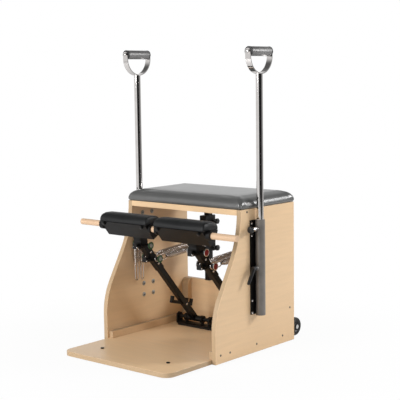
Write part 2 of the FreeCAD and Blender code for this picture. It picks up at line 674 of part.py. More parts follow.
def pad_section(x, depth, thick, shoulder):
    """Cross-section of a pedal pad: flat underside, two round shoulders and a low crown."""
    half = depth / 2
    low_front, low_rear = Vector(x, -half, 0), Vector(x, half, 0)
    top_front, top_rear = Vector(x, -half + shoulder, thick * 0.94), Vector(x, half - shoulder, thick * 0.94)
    lean = shoulder * 0.22
    front_mid, rear_mid = Vector(x, -half + lean, thick * 0.6), Vector(x, half - lean, thick * 0.6)
    crown = Vector(x, 0, thick)
    return Part.Wire([Part.Arc(low_front, front_mid, top_front).toShape(),
                      Part.Arc(top_front, crown, top_rear).toShape(),
                      Part.Arc(top_rear, rear_mid, low_rear).toShape(),
                      Part.LineSegment(low_rear, low_front).toShape()])


def pedal_pad(side, sign):
    """Upholstered pad on a pedal, drawn in at its two ends."""
    half, end, drop = size("pedal_width") / 2, size("pad_end"), size("pad_end_drop")
    depth = size("pedal_front") - size("pedal_rear")
    thick, shoulder = size("pad_thick"), size("pad_shoulder")
    stations = [(-half, drop), (-half + 0.3 * end, 0.4 * drop), (-half + end, 0.0),
                (half - end, 0.0), (half - 0.3 * end, 0.4 * drop), (half, drop)]
    sections = [pad_section(x, depth - 2 * inset, thick - inset, shoulder) for x, inset in stations]
    cushion = doc.addObject("Part::Feature", f"pad_{side}")
    cushion.Shape = Part.makeLoft(sections, True, True)
    middle = size("rear_y") - (size("pedal_front") + size("pedal_rear")) / 2
    height = size("floor_z") + size("pedal_top")
    cushion.Placement = Placement(Vector(sign * size("pedal_x"), middle, height), Rotation())
    node(f"pedal_pad_{side}", cushion)


# Pedals

def pedal_frame(side, sign):
    """Folded sheet under the pad: top, slanting front plate and two end plates with bushes for the dowel."""
    middle = f"{sign} * pedal_x"
    low, high = f"{middle} - pedal_width / 2", f"{middle} + pedal_width / 2"
    tail = "plate_foot_front - end_tail"
    under = "pedal_top - plate_thick"
    outside = [("pedal_front", "pedal_top"), ("pedal_rear", "pedal_top"), ("pedal_rear", under),
               (tail, "plate_foot_height + end_rise"), ("plate_foot_front", "plate_foot_height")]
    shell = prism(f"pedal_shell_{side}", outside, low, high)
    back_off = "plate_thick * sqrt(1 + plate_run * plate_run)"
    past = "end_tail + end_rise"
    inside = [(f"pedal_front - plate_thick * plate_run - {back_off}", under),
              (f"pedal_rear - {past}", under),
              (f"pedal_rear - {past}", f"plate_foot_height - {past}"),
              (f"plate_foot_front - {past} * plate_run - {back_off}", f"plate_foot_height - {past}")]
    hollow = prism(f"pedal_hollow_{side}", inside, f"{low} + end_thick", f"{high} - end_thick")
    near, far = ("bush_in", "bush_out") if sign > 0 else ("bush_out", "bush_in")
    spots = [(start, "rear_y - dowel_front", "floor_z + dowel_height") for start in (f"{low} - {near}", high)]
    bushes = [rod("bush", "x", "bush_dia", spot, reach) for spot, reach in zip(spots, (near, far))]
    bore = rod("dowel_bore", "x", "dowel_dia + 2 * fit_clear", spots[0], "pedal_width + bush_in + bush_out")
    wide = "joint_bolt + 2 * hole_clear"
    holes = [slanted_rod("pedal_bolt_hole", x, wide, "-plate_thick * 3", "plate_thick * 6")
             for x in pedal_bolt_places(middle)]
    whole = fuse(f"bushed_shell_{side}", [shell, *bushes])
    node(f"pedal_frame_{side}", cut(f"pedal_sheet_{side}", whole, [hollow, bore] + holes))
    bolts = []
    for x in pedal_bolt_places(middle):
        head = slanted_rod("pedal_bolt_head", x, "knob_dia", "0", "knob_thick")
        shank = slanted_rod("pedal_bolt", x, "joint_bolt", "-plate_thick", "plate_thick")
        bolts.append(fuse("pedal_bolt", [head, shank]))
    node(f"pedal_bolts_{side}", group(f"pedal_bolts_{side}", bolts))


def pedal_bolt_places(middle):
    """X of the two bolts of a pedal."""
    return [f"{middle} {hand} knob_spread / 2" for hand in ("-", "+")]


def slanted_rod(name, x, diameter, start, length):
    """A rod square to the slanting plate, from a distance off its outer face."""
    bar = doc.addObject("Part::Cylinder", name)
    bar.Placement = Placement(Vector(), Rotation(Vector(1, 0, 0), 1))
    bind(bar, "Placement.Rotation.Angle", "180deg - atan(1 / plate_run)")
    bind(bar, "Radius", f"({diameter}) / 2")
    bind(bar, "Height", length)
    slope = "sqrt(1 + plate_run * plate_run)"
    y = f"rear_y - pedal_front + knob_down * plate_run / {slope} - ({start}) / {slope}"
    z = f"floor_z + pedal_top - knob_down / {slope} - ({start}) * plate_run / {slope}"
    return place(bar, x, y, z)


def pedal_arm(side, sign):
    """Square arm with its hub, hood and stem, front hooks, spring pins and lower cradle, welded."""
    x = f"{sign} * pedal_x"
    hub = rod("hub", "x", "hub_dia", (f"{x} - hub_length / 2", "pivot_y", "pivot_z"), "hub_length")
    collars = [rod("collar", "x", "collar_dia", (f"{x} + {start}", "pivot_y", "pivot_z"), "collar_length")
               for start in ("hub_length / 2 - collar_length", "-hub_length / 2")]
    tube = arm_bar("arm_tube", x, "arm_size", "0", "arm_length")
    stiff = arm_bar("arm_top", x, "sleeve_size", "arm_length - stiff_length", "stiff_length")
    neck_y, neck_z = on_arm("arm_length + neck_radius / 2")
    hood = rod("hood", "x", "2 * neck_radius", (f"{x} - neck_width / 2", neck_y, neck_z), "neck_width")
    neck_ahead, neck_height = f"rear_y - ({neck_y})", f"{neck_z} - floor_z"
    under = "pedal_top - plate_thick"
    slope = [("stem_front", under), ("stem_front - stem_depth", under), (neck_ahead, neck_height),
             (f"{neck_ahead} + neck_radius - plate_thick", neck_height)]
    stem = prism("stem", slope, f"{x} - neck_width / 2", f"{x} + neck_width / 2")
    pieces = [hub, *collars, tube, stiff, hood, stem]
    for along in ("pin_low", "pin_high"):
        y, z = on_arm(along)
        pieces.append(rod("pin", "x", "pin_dia", (f"{x} - pin_reach", y, z), "2 * pin_reach"))
        pieces += front_hook(x, y, z)
    pieces += cradle(x)
    arm = fuse(f"arm_{side}", pieces)
    start = (f"{x} - hub_length / 2", "pivot_y", "pivot_z")
    bore = rod("axle_bore", "x", "axle_dia + 2 * fit_clear", start, "hub_length")
    node(f"pedal_arm_{side}", cut(f"bored_arm_{side}", arm, [bore]))
    caps = []
    for along in ("pin_low", "pin_high"):
        y, z = on_arm(along)
        for start in ("pin_reach", "-pin_reach - cap_thick"):
            caps.append(rod("cap", "x", "cap_dia", (f"{x} + {start}", y, z), "cap_thick"))
    node(f"spring_caps_{side}", group(f"caps_{side}", caps))


def front_hook(x, y, z):
    """Level hook in front of the arm with a turned-up lip."""
    xs = (f"{x} - tab_width / 2", f"{x} + tab_width / 2")
    tip = f"{y} - tab_reach"
    shelf = block("hook_shelf", xs, (tip, y), (f"{z} - tab_thick", z))
    lip = block("hook_lip", xs, (tip, f"{tip} + tab_lip"), (f"{z} - tab_thick", f"{z} + tab_lip"))
    return [shelf, lip]


def tilted_block(name, xs, ys, zs, spot):
    """A box turned with the cradle, its bounds measured from a spot on the arm."""
    box = doc.addObject("Part::Box", name)
    box.Placement = Placement(Vector(), Rotation(Vector(-1, 0, 0), 1))
    bind(box, "Placement.Rotation.Angle", "cradle_tilt * 1deg")
    for prop, (low, high) in zip(("Length", "Width", "Height"), (xs, ys, zs)):
        bind(box, prop, f"({high}) - ({low})")
    turn, lift = "cos(cradle_tilt * 1deg)", "sin(cradle_tilt * 1deg)"
    y = f"{spot[0]} + ({ys[0]}) * {turn} + ({zs[0]}) * {lift}"
    z = f"{spot[1]} - ({ys[0]}) * {lift} + ({zs[0]}) * {turn}"
    return place(box, xs[0], y, z)


def cradle(x):
    """Cross bar low on the arm, its front end up, turned up once at the front and twice behind."""
    spot = on_arm("cradle_along")
    xs = (f"{x} - cradle_width / 2", f"{x} + cradle_width / 2")
    bar_zs = ("-cradle_thick / 2", "cradle_thick / 2")
    bar = tilted_block("cradle_bar", xs, ("-cradle_front", "cradle_rear"), bar_zs, spot)
    prong_zs = ("0", "cradle_thick / 2 + prong_height")
    tips = ["-cradle_front", "cradle_rear - prong_width", "cradle_rear - prong_width - prong_gap"]
    return [bar] + [tilted_block("prong", xs, (tip, f"{tip} + prong_width"), prong_zs, spot) for tip in tips]


def dowel():
    """Removable wooden dowel that ties the two pedals together."""
    start = ("-dowel_length / 2", "rear_y - dowel_front", "floor_z + dowel_height")
    node("dowel", rod("dowel_bar", "x", "dowel_dia", start, "dowel_length"))


def pivot_bracket(side, sign):
    """Bar and foot plate on the base with two upright ears that hold the axle."""
    x = f"{sign} * pedal_x"
    bar_xs = (f"{x} - ear_span / 2", f"{x} + ear_span / 2")
    bar_ys = ("pivot_y - bar_width / 2", "pivot_y + bar_width / 2")
    bar = block("bar", bar_xs, bar_ys, ("base_top", "base_top + bar_height"))
    foot_xs = mirror_span(sign, "foot_gap", "pedal_x + foot_out")
    foot = block("foot", foot_xs, ("pivot_y - foot_front", "pivot_y"), ("base_top", "base_top + bar_height"))
    pieces = [bar, foot]
    for hand in ("-", "+"):
        low = f"{x} {hand} ear_span / 2 - ear_thick / 2"
        ys = ("pivot_y - ear_width / 2", "pivot_y + ear_width / 2")
        pieces.append(block("ear", (low, f"{low} + ear_thick"), ys, ("base_top", "pivot_z")))
        pieces.append(rod("ear_top", "x", "ear_width", (low, "pivot_y", "pivot_z"), "ear_thick"))
    whole = fuse(f"bracket_{side}", pieces)
    start = f"{x} - ear_span / 2 - ear_thick / 2"
    across = "ear_span + ear_thick"
    bore = rod("ear_bore", "x", "axle_dia + 2 * fit_clear", (start, "pivot_y", "pivot_z"), across)
    holes = [rod("bar_hole", "z", "joint_bolt + 2 * hole_clear",
                 (f"{x} + {hand} * ear_span / 4", "pivot_y", "base_top"), "bar_height") for hand in (-1, 1)]
    node(f"pivot_bracket_{side}", cut(f"bored_bracket_{side}", whole, [bore] + holes))
    tip = (f"{start} - axle_end", "pivot_y", "pivot_z")
    return rod("axle", "x", "axle_dia", tip, f"{across} + 2 * axle_end")


def pedals():
    """Both pedals with their arms, pads and pivots."""
    axles = []
    for side, sign in SIDES:
        axles.append(pivot_bracket(side, sign))
        pedal_arm(side, sign)
        pedal_frame(side, sign)
        pedal_pad(side, sign)
    node("pivot_axles", group("axles", axles))
    dowel()


# Spring posts and carriages

def spring_post(side, sign):
    """Square tube from the back panel's top edge to the deck, with a top plate and a tab behind the panel."""
    x = f"{sign} * pedal_x"
    xs = (f"{x} - post_size / 2", f"{x} + post_size / 2")
    ys = ("post_face", "rear_y")
    zs = ("floor_z + back_top", "deck_low")
    outer = block("post_outer", xs, ys, zs)
    bore_xs = (f"{xs[0]} + post_wall", f"{xs[1]} - post_wall")
    bore = block("post_bore", bore_xs, ("post_face + post_wall", "rear_y - post_wall"), zs)
    tube = cut("post_tube", outer, [bore])
    plate_xs = (f"{x} - post_plate_width / 2", f"{x} + post_plate_width / 2")
    plate = block("post_top", plate_xs, ys, ("deck_low - post_plate", "deck_low"))
    tab_zs = ("floor_z + back_top - post_tab", "floor_z + back_top + post_tab / 2")
    tab = block("post_tab", xs, ("rear_y", "rear_y + post_plate"), tab_zs)
    node(f"spring_post_{side}", fuse(f"post_{side}", [tube, plate, tab]))


def carriage(name, x, low, height):
    """Clamp block round a post, bored for its clamp screw."""
    xs = (f"{x} - carriage_width / 2", f"{x} + carriage_width / 2")
    ys = ("post_face - carriage_front", "rear_y + carriage_behind")
    body = block(name, xs, ys, (f"floor_z + {low}", f"floor_z + {low} + {height}"))
    hole_xs = (f"{x} - post_size / 2 - slide_clear", f"{x} + post_size / 2 + slide_clear")
    hole = block("carriage_hole", hole_xs, ("post_face - slide_clear", "rear_y + slide_clear"),
                 (f"floor_z + {low}", f"floor_z + {low} + {height}"))
    spot = (xs[0], "rear_y + clamp_behind", f"floor_z + {low} + clamp_up")
    screw = rod("clamp_hole", "x", "clamp_dia + 2 * fit_clear", spot, "carriage_width")
    return cut(name, body, [hole, screw])


def hand_knobs(name, x, low):
    """Clamp screw through a carriage with a hand knob at each end."""
    y, z = "rear_y + clamp_behind", f"floor_z + {low} + clamp_up"
    near = "(carriage_width / 2 + hand_knob_gap)"
    screw = rod(name, "x", "clamp_dia", (f"{x} - {near}", y, z), f"2 * {near}")
    ends = [rod(name, "x", "hand_knob_dia", (f"{x} + {start}", y, z), "hand_knob_thick")
            for start in (near, f"-{near} - hand_knob_thick")]
    return fuse(name, [screw] + ends)


def posts():
    """Spring posts, each with a loaded lower carriage and a free upper one."""
    for side, sign in SIDES:
        x = f"{sign} * pedal_x"
        spring_post(side, sign)
        block_low = carriage(f"low_carriage_{side}", x, "carriage_low", "carriage_height")
        studs = []
        for start in ("carriage_width / 2", "-pin_reach"):
            reach = "pin_reach - carriage_width / 2"
            studs.append(rod("stud", "x", "pin_dia", (f"{x} + {start}", "stud_y", "stud_z"), reach))
        for start in ("pin_reach", "-pin_reach - plate_thick"):
            spot = (f"{x} + {start}", "stud_y", "stud_z")
            studs.append(rod("stud_head", "x", "2 * pin_dia", spot, "plate_thick"))
        node(f"spring_carriage_{side}", fuse(f"spring_carriage_{side}", [block_low] + studs))
        node(f"stop_carriage_{side}", carriage(f"top_carriage_{side}", x, "stop_low", "stop_height"))
        node(f"carriage_knobs_{side}", hand_knobs(f"low_knobs_{side}", x, "carriage_low"))
        node(f"stop_knobs_{side}", hand_knobs(f"top_knobs_{side}", x, "stop_low"))


# Springs: each is one wire, a loop, a coil and a straight end

def arc_between(start, heading, end):
    """Arc that leaves a start along a heading and comes to an end."""
    chord = end - start
    span = chord.Length
    toward = chord * (1 / span)
    off = heading - toward * heading.dot(toward)
    if off.Length < 1e-9:
        return Part.LineSegment(start, end).toShape()
    off.normalize()
    half_turn = math.acos(max(-1.0, min(1.0, heading.dot(toward)))) / 2
    bulge = start + chord * 0.5 + off * (span / 2 * math.tan(half_turn))
    return Part.Arc(start, bulge, end).toShape()


def biarc(start, heading, end, arrival):
    """Two arcs, tangent to each other, from a start and heading to an end and arrival."""
    gap = end - start
    both = heading + arrival
    spread = 2 * (1 - heading.dot(arrival))
    along = gap.dot(both)
    reach = (-along + math.sqrt(along * along + spread * gap.dot(gap))) / spread
    meet = (start + heading * reach + end - arrival * reach) * 0.5
    back = arc_between(end, arrival * -1, meet)
    second = back.Curve
    last = Part.Arc(meet, second.value((back.FirstParameter + back.LastParameter) / 2), end)
    return [arc_between(start, heading, meet), last.toShape()]


def helix_point(radius, pitch, turns):
    """Point and heading on a helix about Z that starts at -Y and runs towards +X."""
    angle = 2 * math.pi * turns - math.pi / 2
    slope = pitch / (2 * math.pi * radius)
    point = Vector(radius * math.cos(angle), radius * math.sin(angle), pitch * turns)
    heading = Vector(-math.sin(angle), math.cos(angle), slope)
    heading.normalize()
    return point, heading


def coil_edges(radius, start, length, turns):
    """Half-turn biarcs of a coil along Z."""
    pitch = length / turns
    up = Vector(0, 0, start)
    edges = []
    for half in range(2 * turns):
        here, heading = helix_point(radius, pitch, half / 2)
        there, arrival = helix_point(radius, pitch, (half + 1) / 2)
        edges += biarc(here + up, heading, there + up, arrival)
    return edges


def loop_edges(radius, bend, seat, end_z, free_z):
    """Loop before a coil: free leg, round about the seat, and the leg that bends into the coil."""
    x = -bend
    side, far = Vector(x, radius, seat), Vector(x, 0, seat - radius)
    other = Vector(x, -radius, seat)
    leg_end = Vector(x, -radius, end_z - bend)
    back, across, forward = Vector(0, 0, -1), Vector(0, -1, 0), Vector(0, 0, 1)
    return [Part.LineSegment(Vector(x, radius, free_z), side).toShape(), arc_between(side, back, far),
            arc_between(far, across, other), Part.LineSegment(other, leg_end).toShape()], leg_end, forward


def wire_tube(edges, diameter):
    """Round wire along a path of edges."""
    path = Part.Wire(edges)
    first = edges[0]
    start = first.valueAt(first.FirstParameter)
    heading = first.tangentAt(first.FirstParameter)
    profile = Part.Wire([Part.makeCircle(diameter / 2, start, heading)])
    return path.makePipeShell([profile], True, False)


def least_gap(edges, diameter):
    """Smallest clear distance between stretches of one wire that are not neighbours along it."""
    step = diameter / 2
    points, travelled, run = [], [], 0.0
    for edge in edges:
        count = max(2, int(edge.Length / step))
        for point in edge.discretize(count)[:-1]:
            points.append(point)
            travelled.append(run)
            run += edge.Length / (count - 1)
    apart = 4 * diameter
    best = math.inf
    for i, here in enumerate(points):
        for j in range(i + 1, len(points)):
            if travelled[j] - travelled[i] > apart:
                best = min(best, here.distanceToPoint(points[j]))
    return best - diameter


def spring_edges(turns, length, start, seat):
    """Path of a spring: loop, coil and one straight wire diameter."""
    radius, bend, wire = size("coil_radius"), size("wire_bend"), size("wire_dia")
    edges, leg_end, forward = loop_edges(radius, bend, seat, start, start - bend - wire)
    first, heading = helix_point(radius, length / turns, 0)
    edges += biarc(leg_end, forward, first + Vector(0, 0, start), heading)
    return edges + coil_edges(radius, start, length, turns)


def straight_end(edges, length):
    """Straight run on from the last edge of a path."""
    last = edges[-1]
    end = last.valueAt(last.LastParameter)
    heading = last.tangentAt(last.LastParameter)
    return Part.LineSegment(end, end + heading * length).toShape()


def spring_slope():
    """Rest line of the springs: length from stud to front pin, and its turn about X."""
    run = size("stud_y") - (size("pivot_y") - size("pin_low") * size("arm_run"))
    drop = size("stud_z") - (size("pivot_z") + size("pin_low") * size("arm_rise"))
    return math.hypot(run, drop), 90 + math.degrees(math.atan2(drop, run))


def working_springs(side, sign):
    """A spring each side of the arm, with the flanged front hooks that reach over the arm's pin."""
    reach, turn = spring_slope()
    seat = Placement(Vector(0, size("stud_y"), size("stud_z")), Rotation(Vector(1, 0, 0), turn))
    wire, bend = size("wire_dia"), size("wire_bend")
    edges = spring_edges(int(size("coil_turns")), size("coil_length"), size("coil_start"), size("loop_seat"))
    edges.append(straight_end(edges, wire))
    print(f"working spring {side}: least gap {least_gap(edges, wire):.2f} mm")
    springs, hooks = [], []
    for hand in (-1, 1):
        shift = Vector(sign * size("pedal_x") + hand * size("coil_offset") + bend / 2, 0, 0)
        spring = doc.addObject("Part::Feature", f"spring_{side}")
        spring.Shape = wire_tube(edges, wire)
        spring.Placement = Placement(shift, Rotation()).multiply(seat)
        springs.append(spring)
        hook = doc.addObject("Part::Feature", f"hook_{side}")
        hook.Shape = hook_shape(reach)
        hook.Placement = Placement(shift - Vector(bend / 2, 0, 0), Rotation()).multiply(seat)
        hooks.append(hook)
    node(f"spring_pair_{side}", group(f"springs_{side}", springs))
    node(f"spring_hooks_{side}", group(f"hooks_{side}", hooks))


def hook_shape(reach):
    """Plug in the coil's front end, a flange, and a long loop past the arm's pin."""
    radius, wire = size("coil_radius"), size("wire_dia")
    coil_end = size("coil_start") + size("coil_length") + wire
    up = Vector(0, 0, 1)
    shift = Vector(size("wire_bend") / 2, 0, 0)
    plug_radius = radius - wire / 2 - size("plug_gap")
    inside = size("plug_inside") + wire
    plug = Part.makeCylinder(plug_radius, inside, shift + up * (coil_end - inside), up)
    flange = Part.makeCylinder(radius + wire / 2, size("plug_flange"), shift + up * coil_end, up)
    top = coil_end + size("plug_flange")
    round_z = reach + size("hook_slack")
    near, far = Vector(0, radius, top), Vector(0, radius, round_z)
    tip = Vector(0, 0, round_z + radius)
    edges = [Part.LineSegment(near, far).toShape(), arc_between(far, up, tip),
             arc_between(tip, Vector(0, -1, 0), Vector(0, -radius, round_z)),
             Part.LineSegment(Vector(0, -radius, round_z), Vector(0, -radius, top)).toShape()]
    return plug.fuse([flange, wire_tube(edges, wire)]).removeSplitter()


def spare_springs():
    """Two spare springs that hang on pegs inside the left panel."""
    wire, bend, radius = size("wire_dia"), size("wire_bend"), size("coil_radius")
    start = size("spare_top_loop")
    seat = radius - wire / 2 - size("peg_dia") / 2 - size("plug_gap")
    edges = spring_edges(int(size("spare_turns")), size("spare_coil"), start, seat)
    end = edges[-1].valueAt(edges[-1].LastParameter)
    heading = edges[-1].tangentAt(edges[-1].LastParameter)
    low = end.z + bend
    leg = Vector(bend, -radius, low)
    down = Vector(0, 0, 1)
    edges += biarc(end, heading, leg, down)
    long_end = end.z + size("spare_loop")
    turn = Vector(bend, -radius, long_end)
    far = Vector(bend, 0, long_end + radius)
    edges += [Part.LineSegment(leg, turn).toShape(), arc_between(turn, down, far),
              arc_between(far, Vector(0, 1, 0), Vector(bend, radius, long_end)),
              Part.LineSegment(Vector(bend, radius, long_end), Vector(bend, radius, low + wire)).toShape()]
    print(f"spare spring: least gap {least_gap(edges, wire):.2f} mm")
    springs, pegs = [], []
    for index in range(2):
        forward = size("spare_front") + index * size("spare_pitch")
        height = size("floor_z") + size("peg_height")
        spring = doc.addObject("Part::Feature", "spare")
        spring.Shape = wire_tube(edges, wire)
        spot = Vector(-size("inner_x") + size("spare_off") + bend, size("rear_y") - forward, height)
        spring.Placement = Placement(spot, Rotation(Vector(1, 0, 0), 180))
        springs.append(spring)
        y = f"rear_y - spare_front - {index} * spare_pitch"
        z = "floor_z + peg_height"
        shaft = rod("peg", "x", "peg_dia", ("-inner_x", y, z), "peg_length")
        head = rod("peg_top", "x", "peg_head", ("-inner_x + peg_length", y, z), "peg_head_thick")
        pegs.append(fuse("peg", [shaft, head]))
    node("spare_springs", group("spares", springs))
    node("spare_spring_pegs", group("pegs", pegs))


# Poles

def pole_sleeve(side, sign):
    """Sleeve outside a panel, with bosses for the pull knob and the clamp lever."""
    x = f"{sign} * pole_x"
    low, length = (x, "pole_y", "floor_z + tube_low"), "tube_high - tube_low"
    tube = rod("tube", "z", "tube_dia", low, length)
    boss_y = "tube_face - boss_length"
    bosses, holes = [], []
    for height, bore in (("pull_height", "pull_dia"), ("lever_height", "lever_screw")):
        spot = (x, boss_y, f"floor_z + {height}")
        bosses.append(rod("boss", "y", "boss_dia", spot, "boss_length + tube_dia / 2"))
        holes.append(rod("boss_hole", "y", f"{bore} + 2 * fit_clear", spot, "boss_length + tube_dia / 2"))
    whole = fuse(f"sleeve_{side}", [tube] + bosses)
    bore = rod("tube_bore", "z", "pole_dia + 2 * fit_clear", low, length)
    node(f"sleeve_{side}", cut(f"bored_sleeve_{side}", whole, [bore] + holes))


def sleeve_rail(sign):
    """Flat rail between a sleeve and its panel, drilled for its bolts."""
    xs = mirror_span(sign, "outer_x", "outer_x + rail_thick")
    ys = ("pole_y - rail_width / 2", "pole_y + rail_width / 2")
    plate = block("rail", xs, ys, ("floor_z + rail_low", "floor_z + rail_high"))
    holes = [rod("rail_bore", "x", "bolt_shank + 2 * hole_clear", (xs[0], y, z), "rail_thick")
             for y, z in rail_points()]
    return cut("drilled_rail", plate, [group("rail_bores", holes)])


def rail_fasteners(sign):
    """Bolts through the rail and the panel, and the tee nuts inside."""
    bolts, nuts = [], []
    start = "inner_x" if sign > 0 else "-outer_x - rail_thick"
    head = "outer_x + rail_thick" if sign > 0 else "-outer_x - rail_thick - bolt_head_thick"
    nut = "inner_x - nut_thick" if sign > 0 else "-inner_x"
    for y, z in rail_points():
        shank = rod("rail_bolt", "x", "bolt_shank", (start, y, z), "panel_thick + rail_thick")
        top = rod("rail_bolt", "x", "bolt_head", (head, y, z), "bolt_head_thick")
        bolts.append(fuse("rail_bolt", [shank, top]))
        nuts.append(rod("tee_nut", "x", "nut_dia", (nut, y, z), "nut_thick"))
    return bolts, nuts


def pole(side, sign):
    """Chromed tube with a row of holes, saddled under the D-handle."""
    x = f"{sign} * pole_x"
    low = "floor_z + pole_low"
    length = "round_z - floor_z - pole_low"
    tube = rod("pole_tube", "z", "pole_dia", (x, "pole_y", low), length)
    bore = rod("pole_bore", "z", "pole_dia - 2 * pole_wall", (x, "pole_y", low), length)
    saddle = rod("saddle", "x", "2 * strap_radius", (f"{x} - pole_dia", "pole_y", "round_z"), "2 * pole_dia")
    holes = []
    for index in range(4):
        height = f"floor_z + index_first + {index - 1} * index_pitch"
        holes.append(rod("index_hole", "y", "index_dia", (x, "pole_y - pole_dia", height), "pole_dia"))
    node(f"pole_{side}", cut(f"drilled_pole_{side}", tube, [bore, saddle] + holes))


def handle(side, sign):
    """D-handle of flat bar with its bolt, and the grip that turns on it."""
    x = f"{sign} * pole_x"
    low_x = f"{x} - strap_width / 2"
    ring = rod("strap_outer", "x", "2 * strap_radius", (low_x, "pole_y", "round_z"), "strap_width")
    hollow = "2 * (strap_radius - strap_thick)"
    inner = rod("strap_inner", "x", hollow, (low_x, "pole_y", "round_z"), "strap_width")
    upper = block("strap_upper", (low_x, f"{low_x} + strap_width"),
                  ("pole_y - strap_radius", "pole_y + strap_radius"), ("round_z", "round_z + strap_radius"))
    pieces = [cut("strap_round", ring, [inner, upper])]
    heads = ("pole_y - strap_radius - grip_head_thick", "pole_y + strap_radius")
    for start, head in zip(("pole_y - strap_radius", "pole_y + strap_radius - strap_thick"), heads):
        ys = (start, f"{start} + strap_thick")
        pieces.append(block("strap_leg", (low_x, f"{low_x} + strap_width"), ys, ("round_z", "grip_z")))
        pieces.append(rod("strap_eye", "y", "strap_width", (x, start, "grip_z"), "strap_thick"))
        pieces.append(rod("grip_bolt_head", "y", "grip_head_dia", (x, head, "grip_z"), "grip_head_thick"))
    spot = (x, "pole_y - strap_radius", "grip_z")
    pieces.append(rod("grip_bolt", "y", "grip_bolt", spot, "2 * strap_radius"))
    node(f"handle_strap_{side}", fuse(f"strap_{side}", pieces))
    start = (x, "pole_y - strap_radius + strap_thick + grip_gap", "grip_z")
    length = "2 * (strap_radius - strap_thick - grip_gap)"
    foam = rod("grip_outer", "y", "grip_dia", start, length)
    bore = rod("grip_bore", "y", "grip_bolt + 2 * fit_clear", start, length)
    node(f"grip_{side}", cut(f"grip_{side}", foam, [bore]))


def pull_knob(side, sign):
    """Pull knob whose plunger stands at the mouth of one of the pole's holes."""
    x, z = f"{sign} * pole_x", "floor_z + pull_height"
    nose = "pole_y - pole_dia / 2 - nose_gap"
    knob_y = "tube_face - boss_length - pull_neck"
    plunger = rod("plunger", "y", "pull_dia", (x, knob_y, z), f"{nose} - ({knob_y})")
    knob = rod("pull_knob", "y", "pull_knob_dia", (x, f"{knob_y} - pull_knob_thick", z), "pull_knob_thick")
    node(f"pull_knob_{side}", fuse(f"pull_knob_{side}", [plunger, knob]))


def clamp_lever(side, sign):
    """Clamp lever: screw against the pole, hub, and a tapered handle that leans to the front."""
    x, z = f"{sign} * pole_x", "floor_z + lever_height"
    nose = "pole_y - pole_dia / 2 - nose_gap"
    hub_y = "tube_face - boss_length - slide_clear - lever_hub_length"
    screw = rod("lever_screw", "y", "lever_screw", (x, hub_y, z), f"{nose} - ({hub_y})")
    hub = rod("lever_hub", "y", "lever_hub_dia", (x, hub_y, z), "lever_hub_length")
    handle_bar = doc.addObject("Part::Cone", f"lever_bar_{side}")
    handle_bar.Placement = Placement(Vector(), Rotation(Vector(1, 0, 0), 1))
    bind(handle_bar, "Placement.Rotation.Angle", "(180 - lever_tilt) * 1deg")
    bind(handle_bar, "Radius1", "lever_root")
    bind(handle_bar, "Radius2", "lever_tip")
    bind(handle_bar, "Height", "lever_length")
    place(handle_bar, x, f"{hub_y} + lever_root", z)
    node(f"clamp_lever_{side}", fuse(f"lever_{side}", [screw, hub, handle_bar]))


def poles():
    """Both handle poles with their sleeves, rails and locks."""
    rails, bolts, nuts = [], [], []
    for side, sign in SIDES:
        pole_sleeve(side, sign)
        rails.append(sleeve_rail(sign))
        side_bolts, side_nuts = rail_fasteners(sign)
        bolts += side_bolts
        nuts += side_nuts
        pole(side, sign)
        handle(side, sign)
        pull_knob(side, sign)
        clamp_lever(side, sign)
    node("sleeve_rails", group("rails", rails))
    node("rail_bolts", group("rail_bolts", bolts))
    node("tee_nuts", group("tee_nuts", nuts))


# Rear wheels

def wheels():
    """Wheels behind the back panel, clear of the floor until the chair is tipped back."""
    brackets = []
    for side, sign in SIDES:
        low, high = "wheel_x - wheel_width / 2", "wheel_x + wheel_width / 2"
        axle_out = f"{high} + wheel_gap"
        cheek = f"{low} - bracket_space - bracket_thick"
        cheek_xs = mirror_span(sign, cheek, f"{cheek} + bracket_thick")
        flange_xs = mirror_span(sign, f"{cheek} + bracket_thick - bracket_width", f"{cheek} + bracket_thick")
        zs = ("wheel_z - bracket_height / 2", "wheel_z + bracket_height / 2")
        spot = ("wheel_y", "wheel_z")
        pieces = [block("cheek", cheek_xs, ("rear_y", "wheel_y"), zs),
                  rod("cheek_end", "x", "bracket_height", (cheek_xs[0], *spot), "bracket_thick"),
                  block("flange", flange_xs, ("rear_y", "rear_y + bracket_thick"), zs)]
        for bar, start, length in (("bracket_boss", f"{cheek} + bracket_thick", "bracket_space - wheel_gap"),
                                   ("wheel_axle", cheek, f"{axle_out} - ({cheek})"),
                                   ("axle_head_dia", axle_out, "axle_head_thick")):
            xs = mirror_span(sign, start, f"{start} + {length}")
            pieces.append(rod("wheel_pin", "x", bar, (xs[0], *spot), length))
        brackets.append(fuse("wheel_bracket", pieces))
        xs = mirror_span(sign, low, high)
        tread = rod("tread", "x", "wheel_dia", (xs[0], *spot), "wheel_width")
        rim_hole = rod("rim_hole", "x", "rim_dia", (xs[0], *spot), "wheel_width")
        node(f"wheel_tyre_{side}", cut(f"tyre_{side}", tread, [rim_hole]))
        rim = rod("rim", "x", "rim_dia", (xs[0], *spot), "wheel_width")
        bore = rod("wheel_bore", "x", "wheel_axle + 2 * fit_clear", (xs[0], *spot), "wheel_width")
        node(f"wheel_hub_{side}", cut(f"hub_{side}", rim, [bore]))
    node("wheel_brackets", group("wheel_brackets", brackets))


def springs():
    """Working springs of both pedals, and the spare ones."""
    for side, sign in SIDES:
        working_springs(side, sign)
    spare_springs()


def check_model():
    """Stop if any object failed or any sub-part is empty or broken."""
    for item in doc.Objects:
        if "Invalid" in item.State or "Error" in item.State:
            raise RuntimeError(f"{item.Name} failed: {item.State}")
    for label, solid in NODES.items():
        if solid.Shape.isNull() or not solid.Shape.isValid() or not solid.Shape.Solids:
            raise RuntimeError(f"{label} has no valid solid")


